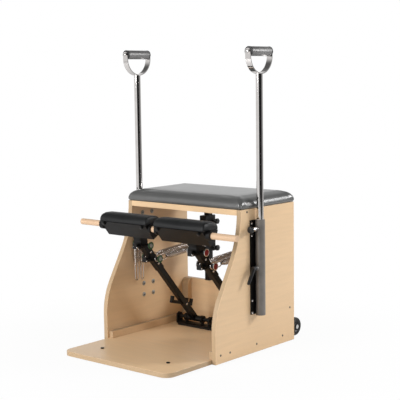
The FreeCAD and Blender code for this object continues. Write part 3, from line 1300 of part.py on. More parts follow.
def write_parts():
    """One file for each sub-part."""
    os.makedirs("parts", exist_ok=True)
    for label, solid in NODES.items():
        solid.Shape.exportStep(f"parts/{label}.step")
    box = doc_bounds()
    print(f"{len(NODES)} sub-parts, {box.XLength:.1f} x {box.YLength:.1f} x {box.ZLength:.1f} mm")


def doc_bounds():
    """Box around every sub-part."""
    box = FreeCAD.BoundBox()
    for solid in NODES.values():
        box.add(solid.Shape.BoundBox)
    return box


side_panels()
base_board()
timber_inside()
feet()
seat_cushion()
pedals()
posts()
springs()
poles()
wheels()
doc.recompute()
check_model()
write_parts()
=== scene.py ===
import json
import math

import bpy
import numpy as np
from mathutils import Matrix, Vector


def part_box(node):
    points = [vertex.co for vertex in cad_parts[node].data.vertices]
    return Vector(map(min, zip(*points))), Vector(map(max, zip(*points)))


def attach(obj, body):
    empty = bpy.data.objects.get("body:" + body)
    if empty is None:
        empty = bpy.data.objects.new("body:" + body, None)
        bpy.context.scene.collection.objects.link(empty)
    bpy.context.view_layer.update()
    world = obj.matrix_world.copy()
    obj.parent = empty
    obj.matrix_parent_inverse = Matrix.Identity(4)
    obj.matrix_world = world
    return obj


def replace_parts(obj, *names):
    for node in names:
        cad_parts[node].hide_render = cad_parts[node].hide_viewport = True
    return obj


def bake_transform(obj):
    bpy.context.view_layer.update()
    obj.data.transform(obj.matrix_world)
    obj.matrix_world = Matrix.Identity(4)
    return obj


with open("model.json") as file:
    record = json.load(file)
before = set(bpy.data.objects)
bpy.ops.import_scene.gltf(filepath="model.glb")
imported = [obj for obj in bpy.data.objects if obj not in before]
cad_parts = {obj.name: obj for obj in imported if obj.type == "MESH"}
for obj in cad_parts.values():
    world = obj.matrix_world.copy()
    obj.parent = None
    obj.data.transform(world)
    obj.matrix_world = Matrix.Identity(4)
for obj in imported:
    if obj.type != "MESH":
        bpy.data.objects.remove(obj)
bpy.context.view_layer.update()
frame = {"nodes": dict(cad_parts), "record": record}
NODES = frame["nodes"]
RECORD = frame["record"]
JOINTS = {joint["name"]: joint for joint in RECORD["behaviour"]["joints"]}
SIDES = ("left", "right")
X, Y, Z = range(3)
MM = 0.001


# Materials

def scaled(colour, share):
    """A colour made lighter or darker."""
    return tuple(min(1.0, part * share) for part in colour)


def feed(tree, socket, value):
    """Join a socket to another one, or set it to a plain value."""
    if isinstance(value, bpy.types.NodeSocket):
        tree.links.new(value, socket)
    else:
        socket.default_value = value


def arithmetic(tree, operation, *values):
    """Result of a math node on sockets or plain values."""
    node = tree.nodes.new("ShaderNodeMath")
    node.operation = operation
    for socket, value in zip(node.inputs, values):
        feed(tree, socket, value)
    return node.outputs[0]


class Paint:
    """A material under construction, its nodes added and joined by short calls."""

    def __init__(self, name, colour, roughness, metallic=0.0):
        self.colour = colour
        self.material = bpy.data.materials.new(name)
        self.material.use_nodes = True
        self.tree = self.material.node_tree
        self.shader = self.tree.nodes["Principled BSDF"]
        self.set("Base Color", self.shade(1.0))
        self.set("Roughness", roughness)
        self.set("Metallic", metallic)
        coordinate = self.add("TexCoord")
        self.place = coordinate.outputs["Object"]
        self.normal = coordinate.outputs["Normal"]

    def set(self, name, value):
        feed(self.tree, self.shader.inputs[name], value)

    def add(self, kind, **inputs):
        node = self.tree.nodes.new("ShaderNode" + kind)
        for key, value in inputs.items():
            feed(self.tree, node.inputs[key.replace("_", " ")], value)
        return node

    def stretched(self, scale):
        return self.add("Mapping", Vector=self.place, Scale=scale).outputs[0]

    def noise(self, scale, detail, vector=None):
        place = self.place if vector is None else vector
        node = self.add("TexNoise", Vector=place, Scale=scale, Detail=detail)
        return node.outputs["Fac"]

    def math(self, operation, *values):
        return arithmetic(self.tree, operation, *values)

    def shade(self, share):
        """The paint's colour made lighter or darker, with its alpha."""
        return (*scaled(self.colour, share), 1.0)

    def shades(self, factor, dark, light, start=0.3, end=0.7):
        """The paint's colour from dark to light, as a pattern goes from start to end."""
        node = self.add("ValToRGB", Fac=factor)
        for stop, position, share in zip(node.color_ramp.elements, (start, end), (dark, light)):
            stop.position = position
            stop.color = self.shade(share)
        return node.outputs[0]

    def mix(self, factor, first, second):
        node = self.add("Mix")
        node.data_type = "RGBA"
        feed(self.tree, node.inputs["Factor"], factor)
        colours = [socket for socket in node.inputs if socket.type == "RGBA"]
        for socket, value in zip(colours, (first, second)):
            feed(self.tree, socket, value)
        return [socket for socket in node.outputs if socket.type == "RGBA"][0]

    def span(self, factor, low, high):
        node = self.add("MapRange", Value=factor, To_Min=low, To_Max=high)
        return node.outputs[0]

    def bump(self, height, distance, strength):
        node = self.add("Bump", Height=height, Distance=distance, Strength=strength)
        self.set("Normal", node.outputs[0])


def plywood(name, colour, thin, grain):
    """Lacquered plywood: streaked faces with short flecks, and layered edges across the thin axis."""
    paint = Paint(name, colour, 0.42)

    def grained(along, across):
        return paint.stretched([along if axis == grain else across for axis in range(3)])

    streaks = paint.noise(1.0, 5.0, grained(5.0, 70.0))
    broad = paint.noise(1.0, 2.0, grained(1.6, 9.0))
    flecks = paint.math("GREATER_THAN", paint.noise(1.0, 1.0, grained(110.0, 900.0)), 0.66)
    face = paint.shades(streaks, 0.95, 1.03, 0.32)
    face = paint.mix(paint.span(broad, 0.0, 0.3), face, paint.shade(0.92))
    face = paint.mix(paint.math("MULTIPLY", flecks, 0.22), face, paint.shade(0.7))
    split = paint.add("SeparateXYZ", Vector=paint.place).outputs[thin]
    veneer = 1.55 * MM
    wave = paint.math("SINE", paint.math("MULTIPLY", split, math.pi / veneer))
    rough_edge = paint.noise(420.0, 2.0)
    layered = paint.math("MULTIPLY_ADD", rough_edge, 0.5, paint.math("MULTIPLY_ADD", wave, 0.35, 0.25))
    edge = paint.shades(layered, 0.48, 0.76, 0.05, 0.95)
    facing = paint.math("ABSOLUTE", paint.add("SeparateXYZ", Vector=paint.normal).outputs[thin])
    is_edge = paint.math("LESS_THAN", facing, 0.55)
    paint.set("Base Color", paint.mix(is_edge, face, edge))
    paint.set("Roughness", paint.span(streaks, 0.34, 0.5))
    paint.set("Coat Weight", 0.18)
    paint.set("Coat Roughness", 0.25)
    paint.bump(streaks, 0.00025, 0.35)
    return paint.material


def turned_wood(name, colour):
    """Turned dowel, its grain along X."""
    paint = Paint(name, colour, 0.45)
    streaks = paint.noise(1.0, 4.0, paint.stretched([6.0, 160.0, 160.0]))
    pores = paint.noise(1.0, 1.0, paint.stretched([90.0, 1100.0, 1100.0]))
    face = paint.shades(streaks, 0.9, 1.06)
    dark = paint.math("MULTIPLY", paint.math("GREATER_THAN", pores, 0.64), 0.25)
    paint.set("Base Color", paint.mix(dark, face, paint.shade(0.72)))
    paint.set("Roughness", paint.span(streaks, 0.38, 0.55))
    paint.bump(streaks, 0.0002, 0.4)
    return paint.material


def vinyl(name, colour, gloss, shine):
    """Upholstery vinyl with a fine pebble grain and slightly uneven gloss."""
    paint = Paint(name, colour, gloss)
    cells = paint.add("TexVoronoi", Vector=paint.place, Scale=750.0).outputs["Distance"]
    fine = paint.noise(1900.0, 2.0)
    uneven = paint.noise(16.0, 3.0)
    paint.set("Base Color", paint.shades(uneven, 0.95, 1.05))
    rubbed = paint.math("ADD", uneven, paint.math("MULTIPLY", cells, 0.15))
    paint.set("Roughness", paint.span(rubbed, gloss - 0.03, gloss + 0.05))
    paint.set("Specular IOR Level", shine)
    paint.bump(paint.math("ADD", cells, paint.math("MULTIPLY", fine, 0.3)), 0.00006, 0.15)
    return paint.material


def coated_steel(name, colour, gloss, metallic=0.0, shine=0.5):
    """Powder-coated or enamelled steel with a fine orange peel."""
    paint = Paint(name, colour, gloss, metallic)
    paint.set("Specular IOR Level", shine)
    peel = paint.noise(1300.0, 2.0)
    uneven = paint.noise(24.0, 3.0)
    paint.set("Base Color", paint.shades(uneven, 0.85, 1.15))
    paint.set("Roughness", paint.span(uneven, gloss - 0.06, gloss + 0.08))
    paint.bump(peel, 0.00004, 0.2)
    return paint.material


def bright_metal(name, colour, gloss, drawn):
    """Plated metal with faint drawing lines and handling marks."""
    paint = Paint(name, colour, gloss, 1.0)
    lines = paint.noise(1.0, 3.0, paint.stretched(drawn))
    marks = paint.noise(30.0, 4.0)
    paint.set("Base Color", paint.shades(marks, 0.93, 1.04))
    paint.set("Roughness", paint.span(paint.math("MULTIPLY", lines, marks), gloss * 0.7, gloss * 2.2))
    paint.bump(lines, 0.00001, 0.1)
    return paint.material


def moulded(name, colour, gloss):
    """Moulded plastic or rubber with a light spark-eroded texture."""
    paint = Paint(name, colour, gloss)
    spark = paint.noise(2200.0, 2.0)
    uneven = paint.noise(40.0, 2.0)
    paint.set("Base Color", paint.shades(uneven, 0.88, 1.12))
    paint.set("Roughness", paint.span(uneven, gloss - 0.06, gloss + 0.08))
    paint.bump(spark, 0.0001, 0.3)
    return paint.material


BEECH = (0.80, 0.56, 0.33)
PLY_ACROSS = plywood("ply_upright_sides", BEECH, thin=X, grain=Y)
PLY_FLAT = plywood("ply_flat", BEECH, thin=Z, grain=X)
PLY_BACK = plywood("ply_back", BEECH, thin=Y, grain=X)
PLY_DECK = plywood("ply_deck", scaled(BEECH, 1.05), thin=Y, grain=X)
SOLID_WOOD = plywood("ply_battens", scaled(BEECH, 0.98), thin=X, grain=Y)
DOWEL_WOOD = turned_wood("dowel_wood", (0.68, 0.465, 0.3))
GREY_VINYL = vinyl("grey_vinyl", (0.097, 0.098, 0.096), 0.28, 1.0)
BLACK_VINYL = vinyl("black_vinyl", (0.011, 0.0115, 0.012), 0.46, 0.28)
BLACK_STEEL = coated_steel("black_powder_coat", (0.0045, 0.004, 0.0038), 0.42, 0.0, 0.24)
GREY_STEEL = coated_steel("grey_enamel", (0.19, 0.175, 0.16), 0.32, 0.3)
CHROME = bright_metal("chrome_plate", (0.85, 0.82, 0.8), 0.06, (900.0, 900.0, 3.0))
DARK_ZINC = bright_metal("dark_zinc", (0.16, 0.15, 0.14), 0.35, (500.0, 500.0, 500.0))
ZINC = bright_metal("zinc_plate", (0.76, 0.76, 0.75), 0.24, (500.0, 500.0, 500.0))
DULL_ZINC = coated_steel("dull_zinc", (0.31, 0.315, 0.295), 0.46, 0.35)
WIRE = bright_metal("spring_wire", (0.64, 0.605, 0.58), 0.18, (300.0, 300.0, 300.0))
DARK_BOLT = moulded("blackened_bolt", (0.005, 0.005, 0.005), 0.5)
RUBBER = moulded("black_rubber", (0.02, 0.02, 0.02), 0.62)
PLASTIC = moulded("black_plastic", (0.009, 0.009, 0.0095), 0.42)
GRIP = coated_steel("grip_grey", (0.2, 0.197, 0.195), 0.44, 0.45)
GREEN = moulded("green_plastic", (0.012, 0.075, 0.02), 0.35)
RED = moulded("red_plastic", (0.2, 0.007, 0.011), 0.35)

# Finish of a node whose grain runs its own way, and of all others by their material slot
NODE_FINISH = {
    "side_panel_left": PLY_ACROSS, "side_panel_right": PLY_ACROSS, "seat_deck": PLY_DECK,
    "back_panel": PLY_BACK, "inner_battens": SOLID_WOOD,
}
SLOT_FINISH = {
    "black_steel": BLACK_STEEL, "grey_steel": GREY_STEEL, "chrome": CHROME, "zinc": ZINC,
    "spring_steel": WIRE, "rubber": RUBBER, "tyre": RUBBER, "black_plastic": PLASTIC, "grip_foam": GRIP,
    "green_plastic": GREEN, "red_plastic": RED, "grey_vinyl": GREY_VINYL, "black_vinyl": BLACK_VINYL,
    "beech_ply": PLY_FLAT, "dowel_wood": DOWEL_WOOD,
}
FLAT_ANGLE = 0.5
EDGE_WIDTH = 0.6 * MM
EDGE_ANGLE = 40


def dress_nodes():
    """Give every carried-over solid its finish and softly broken edges."""
    slots = {entry["node"]: entry["material_slot"] for entry in RECORD["subparts"]}
    for name, solid in NODES.items():
        solid.data.materials.clear()
        solid.data.materials.append(NODE_FINISH.get(name) or SLOT_FINISH[slots[name]])
        merge = solid.modifiers.new("flat_faces", "DECIMATE")
        merge.decimate_type = "DISSOLVE"
        merge.angle_limit = math.radians(FLAT_ANGLE)
        edge = solid.modifiers.new("broken_edges", "BEVEL")
        edge.width = EDGE_WIDTH
        edge.segments = 2
        edge.limit_method = "ANGLE"
        edge.angle_limit = math.radians(EDGE_ANGLE)
        smoothed(solid.data)
        smooth = solid.modifiers.new("normals", "WEIGHTED_NORMAL")
        smooth.keep_sharp = True


# Pieces made in code

TUBE_SIDES = 8


def mesh_object(name, verts, faces):
    """A new object in the scene with a mesh of its own."""
    mesh = bpy.data.meshes.new(name)
    mesh.from_pydata([tuple(v) for v in verts], [], faces)
    mesh.update()
    thing = bpy.data.objects.new(name, mesh)
    bpy.context.scene.collection.objects.link(thing)
    return thing


def smoothed(mesh):
    """Shade all faces of a mesh smooth."""
    mesh.polygons.foreach_set("use_smooth", [True] * len(mesh.polygons))


class Heap:
    """Vertices and faces of several shapes gathered into one piece."""

    def __init__(self):
        self.verts, self.faces, self.tints = [], [], []

    def take(self, verts, faces, tint=0):
        base = len(self.verts)
        self.verts += [tuple(v) for v in verts]
        self.faces += [tuple(base + i for i in face) for face in faces]
        self.tints += [tint] * len(faces)

    def piece(self, name, body, slot_name, *materials):
        """One smooth mesh piece that rides on a body, or on none yet."""
        thing = mesh_object(name, self.verts, self.faces)
        for material in materials:
            thing.data.materials.append(material)
        thing.data.polygons.foreach_set("material_index", self.tints)
        smoothed(thing.data)
        if body is not None:
            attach(thing, body)
        return thing


def basis(axis):
    """Two directions square to an axis."""
    axis = Vector(axis).normalized()
    side = Vector((0, 0, 1)) if abs(axis.z) < 0.9 else Vector((1, 0, 0))
    first = side.cross(axis).normalized()
    return first, axis.cross(first)


def skin(rings, count):
    """Faces between rings with equal point counts, and the two end faces."""
    faces = []
    for ring in range(rings - 1):
        here, there = ring * count, (ring + 1) * count
        for i in range(count):
            j = (i + 1) % count
            faces.append((here + i, here + j, there + j, there + i))
    faces.append(tuple(reversed(range(count))))
    faces.append(tuple(range((rings - 1) * count, rings * count)))
    return faces


def turned(centre, axis, profile, segments, shape=None):
    """A body of revolution: profile points are (distance along the axis, radius)."""
    axis, centre = Vector(axis).normalized(), Vector(centre)
    first, second = basis(axis)
    verts = []
    for along, radius in profile:
        for i in range(segments):
            angle = 2 * math.pi * i / segments
            reach = radius * (shape(angle) if shape else 1.0)
            verts.append(centre + axis * along + (first * math.cos(angle) + second * math.sin(angle)) * reach)
    return verts, skin(len(profile), segments)


def softened(length, radius, edge, steps=4):
    """Profile of a plain cylinder with rounded rims."""
    angles = [math.pi / 2 * (1 - i / steps) for i in range(steps + 1)]
    points = [(edge * (1 - math.sin(a)), radius - edge * (1 - math.cos(a))) for a in angles]
    return points + [(length - along, reach) for along, reach in reversed(points)]


def tube(path, radius):
    """A round wire along a path of points."""
    path = np.array([tuple(p) for p in path], float)
    tangents = np.gradient(path, axis=0)
    tangents /= np.linalg.norm(tangents, axis=1)[:, None]
    normal = np.array(basis(tangents[0])[0])
    verts = []
    for point, tangent in zip(path, tangents):
        normal = normal - tangent * normal.dot(tangent)
        normal /= np.linalg.norm(normal)
        other = np.cross(tangent, normal)
        for i in range(TUBE_SIDES):
            angle = 2 * math.pi * i / TUBE_SIDES
            verts.append(point + (normal * math.cos(angle) + other * math.sin(angle)) * radius)
    return verts, skin(len(path), TUBE_SIDES)


def coordinates(mesh):
    """Vertex places of a mesh as an array."""
    places = np.empty(len(mesh.vertices) * 3)
    mesh.vertices.foreach_get("co", places)
    return places.reshape(-1, 3)


def islands(name):
    """Low and high corners of each separate solid in a node."""
    mesh = NODES[name].data
    places = coordinates(mesh)
    count = len(places)
    keys = {}
    same = np.array([keys.setdefault(tuple(np.round(p, 6)), i) for i, p in enumerate(places)])
    parent = np.arange(count)

    def root(i):
        while parent[i] != i:
            parent[i] = parent[parent[i]]
            i = parent[i]
        return i

    for face in mesh.polygons:
        corners = [same[i] for i in face.vertices]
        for corner in corners[1:]:
            parent[root(corner)] = root(corners[0])
    groups = {}
    for i in range(count):
        groups.setdefault(root(same[i]), []).append(i)
    return [(places[group].min(axis=0), places[group].max(axis=0)) for group in groups.values()]


def middle(low, high):
    """Middle of a box."""
    return Vector([(a + b) / 2 for a, b in zip(low, high)])


# Upholstery

CLOTH_PRESSURE = 4.0
CLOTH_STEPS = 20
STRETCH_STIFFNESS = 40
SHEAR_STIFFNESS = 20
CLOTH_QUALITY = 5
# Share of the height, and inset of the sides in mm, from the base to the crown
CUSHION_LEVELS = ((0.0, -1.0), (0.1, -5.0), (0.3, -6.0), (0.48, -4.0), (0.6, -0.5), (0.7, 4.0),
                  (0.79, 9.5), (0.86, 16.0), (0.91, 25.0), (0.95, 41.0), (0.985, 80.0))
PAD_LEVELS = ((0.0, 0.0), (0.12, 0.0), (0.35, 0.8), (0.55, 3.5), (0.72, 8.0), (0.84, 14.0),
              (0.92, 22.0), (0.96, 30.0))


def rounded_outline(half_x, half_y, corner, pull, per_side=40, per_corner=8):
    """Points round a rectangle with rounded corners, its sides drawn in by a little."""
    points = []
    for turn in range(4):
        along, out = (half_x, half_y) if turn % 2 == 0 else (half_y, half_x)
        spin = Matrix.Rotation(math.pi / 2 * turn, 3, "Z")
        for i in range(per_side):
            share = i / per_side
            x = -along + corner + 2 * (along - corner) * share
            points.append(spin @ Vector((x, -out + pull * math.sin(math.pi * share), 0)))
        for i in range(per_corner):
            angle = -math.pi / 2 + math.pi / 2 * i / per_corner
            points.append(spin @ Vector((along - corner + corner * math.cos(angle),
                                         -out + corner + corner * math.sin(angle), 0)))
    return points


def stacked(rings):
    """Closed mesh through a stack of rings with equal point counts."""
    return [point for ring in rings for point in ring], skin(len(rings), len(rings[0]))


def inflate(name, verts, faces, material, voxel, cap, rest_z, evened):
    """Stuff a closed form: remesh it, blow it up a little as cloth with its base held, and even it out."""
    thing = mesh_object(name, verts, faces)
    remesh = thing.modifiers.new("even", "REMESH")
    remesh.mode = "VOXEL"
    remesh.voxel_size = voxel
    bake(thing)
    start = coordinates(thing.data)
    held = thing.vertex_groups.new(name="held")
    held.add([int(i) for i in np.nonzero(start[:, 2] < rest_z + voxel)[0]], 1.0, "REPLACE")
    cloth = thing.modifiers.new("cloth", "CLOTH")
    cloth.settings.vertex_group_mass = "held"
    cloth.settings.use_pressure = True
    cloth.settings.uniform_pressure_force = CLOTH_PRESSURE
    cloth.settings.effector_weights.gravity = 0.0
    cloth.settings.tension_stiffness = STRETCH_STIFFNESS
    cloth.settings.compression_stiffness = STRETCH_STIFFNESS
    cloth.settings.shear_stiffness = SHEAR_STIFFNESS
    cloth.settings.quality = CLOTH_QUALITY
    for step in range(1, CLOTH_STEPS + 1):
        bpy.context.scene.frame_set(step)
    bake(thing)
    bpy.context.scene.frame_set(1)
    shift = coordinates(thing.data) - start
    far = np.linalg.norm(shift, axis=1)[:, None]
    start = start + shift * np.minimum(1.0, cap / np.maximum(far, 1e-9))
    thing.data.vertices.foreach_set("co", start.ravel())
    smooth = thing.modifiers.new("settle", "SMOOTH")
    smooth.factor = 0.5
    smooth.iterations = evened
    bake(thing)
    thing.data.materials.clear()
    thing.data.materials.append(material)
    return thing


def bake(thing):
    """Apply all modifiers of an object to its mesh."""
    graph = bpy.context.evaluated_depsgraph_get()
    graph.update()
    done = bpy.data.meshes.new_from_object(thing.evaluated_get(graph))
    thing.modifiers.clear()
    thing.data = done


def finish_soft(thing, body, node):
    """Subdivide a stuffed piece and put it in its node's place."""
    more = thing.modifiers.new("finer", "SUBSURF")
    more.levels = 1
    more.render_levels = 1
    bake(thing)
    smoothed(thing.data)
    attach(thing, body)
    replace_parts(thing, node)


def seat_cushion():
    """Seat cushion: swelling sides, a soft shoulder, a low crown and a folded pleat at each corner."""
    low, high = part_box("seat_cushion")
    centre = middle(low, high)
    half_x, half_y = (high[0] - low[0]) / 2, (high[1] - low[1]) / 2
    thick = high[2] - low[2]
    corner, drawn_in, voxel, cap, evened = 5 * MM, 1.5 * MM, 5 * MM, 2.5 * MM, 10
    rings = []
    for share, inset in CUSHION_LEVELS:
        outline = rounded_outline(half_x - inset * MM, half_y - inset * MM, corner, drawn_in)
        rings.append([point + Vector((centre.x, centre.y, low[2] + share * thick)) for point in outline])
    cushion = inflate("seat_cushion_cover", *stacked(rings), GREY_VINYL, voxel, cap, low[2], evened)
    fold_depth, fold_width, fold_reach = 4.2 * MM, 2.6 * MM, 60 * MM
    puff_height, puff_off, puff_width, puff_reach = 2.2 * MM, 12 * MM, 9 * MM, 55 * MM
    places = coordinates(cushion.data)
    x, y = places[:, 0] - centre.x, places[:, 1] - centre.y
    off_x, off_y = half_x - np.abs(x), half_y - np.abs(y)
    across = (off_x - off_y) / math.sqrt(2)
    inward = np.maximum(off_x + off_y, 0)
    fold = fold_depth * np.exp(-(across / fold_width) ** 2) * np.exp(-(inward / fold_reach) ** 2)
    places[:, 0] -= np.sign(x) * fold
    places[:, 1] -= np.sign(y) * fold
    puff = puff_height * np.exp(-((np.abs(across) - puff_off) / puff_width) ** 2)
    puff *= np.exp(-(inward / puff_reach) ** 2) * (places[:, 2] > low[2] + 0.2 * thick)
    places[:, 2] += puff
    cushion.data.vertices.foreach_set("co", places.ravel())
    finish_soft(cushion, "frame", "seat_cushion")


def pedal_pad(side):
    """Pedal pad: rounded long edges, a flat crown and upright ends."""
    node = f"pedal_pad_{side}"
    low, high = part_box(node)
    centre = middle(low, high)
    depth, thick = high[1] - low[1], high[2] - low[2]
    half_x = (high[0] - low[0]) / 2
    corner, drawn_in, voxel, cap, evened = 2.5 * MM, 0.5 * MM, 4 * MM, 2 * MM, 5
    rings = []
    for share, inset in PAD_LEVELS:
        past_end = (3.0 - min(inset, 6.0) * 0.4) * MM
        outline = rounded_outline(half_x + past_end, depth / 2 - inset * MM, corner, drawn_in, 30, 5)
        rings.append([point + Vector((centre.x, centre.y, low[2] + share * thick)) for point in outline])
    pad = inflate(f"pedal_pad_cover_{side}", *stacked(rings), BLACK_VINYL, voxel, cap, low[2], evened)
    finish_soft(pad, f"pedal_{side}", node)


# Springs

COIL_RADIUS = 12 * MM
WIRE_RADIUS = 2 * MM
WORKING_TURNS = 36
SPARE_TURNS = 20
COIL_START = 42 * MM
COIL_LENGTH = 232 * MM
COIL_OFFSET = 27 * MM
SPARE_START = 18 * MM
SPARE_LENGTH = 117 * MM
END_SHARE = 0.55
LOOP_SEAT = 4.7 * MM
LOOP_ROOT = 5 * MM
LOOP_BEND = 14 * MM
SPARE_LOOP = 8 * MM
POINTS_PER_TURN = 13
LOOP_STEPS = 12
LINE_STEP = 3 * MM


def coil_points(start, length, turns, taper_turns):
    """Points of a coil along Z whose last turns at each end close in to a cone."""
    points = []
    total = turns * POINTS_PER_TURN
    for i in range(total + 1):
        turn = i / POINTS_PER_TURN
        near_end = min(turn, turns - turn)
        reach = COIL_RADIUS * (END_SHARE + (1 - END_SHARE) * min(1.0, near_end / taper_turns))
        angle = 2 * math.pi * turn - math.pi / 2
        points.append(Vector((reach * math.cos(angle), reach * math.sin(angle), start + length * i / total)))
    return points


def loop_points(seat, far, half_width, sign):
    """Points of a long wire loop: out from the coil, round the seat, and back."""
    points = [Vector((0, -LOOP_ROOT, far)), Vector((0, -half_width, far - sign * LOOP_BEND))]
    for i in range(LOOP_STEPS + 1):
        angle = -math.pi / 2 + math.pi * i / LOOP_STEPS
        points.append(Vector((0, half_width * math.sin(angle), seat + sign * -half_width * math.cos(angle))))
    points += [Vector((0, half_width, far - sign * LOOP_BEND)), Vector((0, LOOP_ROOT, far))]
    return dense(points)


def dense(points):
    """The same line with points added on its long runs."""
    out = []
    for here, there in zip(points[:-1], points[1:]):
        count = max(1, round((there - here).length / LINE_STEP))
        out += [here.lerp(there, i / count) for i in range(count)]
    return out + [points[-1]]


def working_springs(side):
    """The springs of one pedal: rear loops, dense tapered coils, and front loops over the arm's pin."""
    stud = Vector(JOINTS[f"{side}_spring_swing"]["pos_m"])
    forward = Vector(JOINTS[f"{side}_spring_stretch"]["axis"]).normalized()
    up = forward.cross(Vector((1, 0, 0)))
    turn = Matrix((Vector((1, 0, 0)), up, forward)).transposed()
    tip = max(abs(stud.y - low[1]) for low, _ in islands(f"spring_hooks_{side}"))
    front = tip - COIL_RADIUS - WIRE_RADIUS
    far = COIL_START + COIL_LENGTH
    taper_turns = 4
    ferrule = softened(8 * MM, 5.6 * MM, 1.5 * MM)
    coil, hooks = Heap(), Heap()
    for hand in (-1, 1):
        origin = stud + Vector((hand * COIL_OFFSET, 0, 0))

        def put(points):
            return [origin + turn @ point for point in points]

        windings = coil_points(COIL_START, COIL_LENGTH, WORKING_TURNS, taper_turns)
        coil.take(*tube(put(windings), WIRE_RADIUS))
        coil.take(*tube(put(loop_points(LOOP_SEAT, COIL_START, COIL_RADIUS, 1)), WIRE_RADIUS))
        hooks.take(*tube(put(loop_points(front, far, COIL_RADIUS, -1)), WIRE_RADIUS))
        hooks.take(*turned(origin + forward * (far - 5 * MM), forward, ferrule, 20))
    springs = coil.piece(f"springs_{side}_coils", None, "spring_steel", WIRE)
    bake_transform(springs)
    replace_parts(springs, f"spring_pair_{side}")
    loops = hooks.piece(f"springs_{side}_hooks", f"hooks_{side}", "spring_steel", WIRE)
    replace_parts(loops, f"spring_hooks_{side}")


def spare_springs():
    """Two spare springs on pegs inside the left panel."""
    heap = Heap()
    downward = Matrix(((1, 0, 0), (0, 1, 0), (0, 0, -1)))
    far = SPARE_START + SPARE_LENGTH
    taper_turns = 3
    for low, high in islands("spare_springs"):
        centre = middle(low, high)
        origin = Vector((centre.x, centre.y, high[2] - COIL_RADIUS - WIRE_RADIUS))

        def put(points):
            return [origin + downward @ point for point in points]

        bottom = high[2] - low[2] - 2 * (COIL_RADIUS + WIRE_RADIUS)
        windings = coil_points(SPARE_START, SPARE_LENGTH, SPARE_TURNS, taper_turns)
        heap.take(*tube(put(windings), WIRE_RADIUS))
        heap.take(*tube(put(loop_points(0, SPARE_START, COIL_RADIUS, 1)), WIRE_RADIUS))
        heap.take(*tube(put(loop_points(bottom, far, SPARE_LOOP, -1)), WIRE_RADIUS))
    springs = heap.piece("spare_spring_wires", "frame", "spring_steel", WIRE)
    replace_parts(springs, "spare_springs")


# Hand parts and fasteners

# Slope of a pedal's slanting plate, as depth and drop
PLATE_RUN, PLATE_DROP = 60, 50
# Slope of the pedal arms at rest, in degrees
ARM_ANGLE = 49
# Distance from the pivot, and half the arm's width there, in mm
ARM_BOLTS = ((435, 14), (365, 14), (98, 11.5))
HOOK_REACHES = (398, 480)
HOOK_TIP = Vector((0, -46 * MM, -6 * MM))
HOOK_HALF = 11 * MM
BLOCK_FACES = ((0, 1, 2, 3), (4, 5, 6, 7), (0, 1, 5, 4), (1, 2, 6, 5), (2, 3, 7, 6), (3, 0, 4, 7))


def lobes(count, depth):
    """Outline of a hand knob with a wavy rim."""
    return lambda angle: 1.0 + depth * math.cos(count * angle)


def hand_knobs(node):
    """Clamp screw with a lobed knob at each end, on the body of the same name."""
    low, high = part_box(node)
    centre = middle(low, high)
    heap = Heap()
    span = (high[0] - low[0]) / 2
    radius, thick, sunk = (high[2] - low[2]) / 2, 14 * MM, 4 * MM
    screw = softened(2 * span - 2 * sunk, 4 * MM, 0.6 * MM)
    heap.take(*turned(centre - Vector((span - sunk, 0, 0)), (1, 0, 0), screw, 20), 1)
    for sign in (-1, 1):
        face = centre + Vector((sign * (span - thick), 0, 0))
        neck = [(-2.5 * MM, 6 * MM), (0, 7 * MM), (2 * MM, radius * 0.72)]
        rim = [(3.2 * MM, radius * 0.9), (4.5 * MM, radius * 0.94), (10 * MM, radius * 0.94),
               (12 * MM, radius * 0.88)]
        crown = [(13.2 * MM, radius * 0.7), (13.8 * MM, radius * 0.45), (14 * MM, radius * 0.15)]
        heap.take(*turned(face, (sign, 0, 0), neck + rim + crown, 60, lobes(6, 0.06)))
    knobs = heap.piece(f"{node}_lobed", node, "black_plastic", PLASTIC, ZINC)
    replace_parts(knobs, node)


def pull_knob(side):
    """Pull knob: chromed plunger and collar, and a round black knob."""
    node = f"pull_knob_{side}"
    low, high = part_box(node)
    centre = middle(low, high)
    front = Vector((centre.x, low[1], centre.z))
    radius = (high[2] - low[2]) / 2
    depth = high[1] - low[1]
    stem_start, collar_start = 19 * MM, 31 * MM
    heap = Heap()
    profile = [(0, radius * 0.3), (0.3 * MM, radius * 0.75), (1.6 * MM, radius * 0.93), (4 * MM, radius),
               (11 * MM, radius), (14 * MM, radius * 0.9), (16.5 * MM, radius * 0.66),
               (20 * MM, radius * 0.5)]
    heap.take(*turned(front, (0, 1, 0), profile, 40))
    stem = softened(depth - stem_start, 5 * MM, 0.5 * MM)
    heap.take(*turned(front + Vector((0, stem_start, 0)), (0, 1, 0), stem, 24), 1)
    collar = softened(6 * MM, 8 * MM, 0.8 * MM)
    heap.take(*turned(front + Vector((0, collar_start, 0)), (0, 1, 0), collar, 6), 1)
    knob = heap.piece(f"{node}_turned", f"pull_knob_{side}", "black_plastic", PLASTIC, CHROME)
    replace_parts(knob, node)


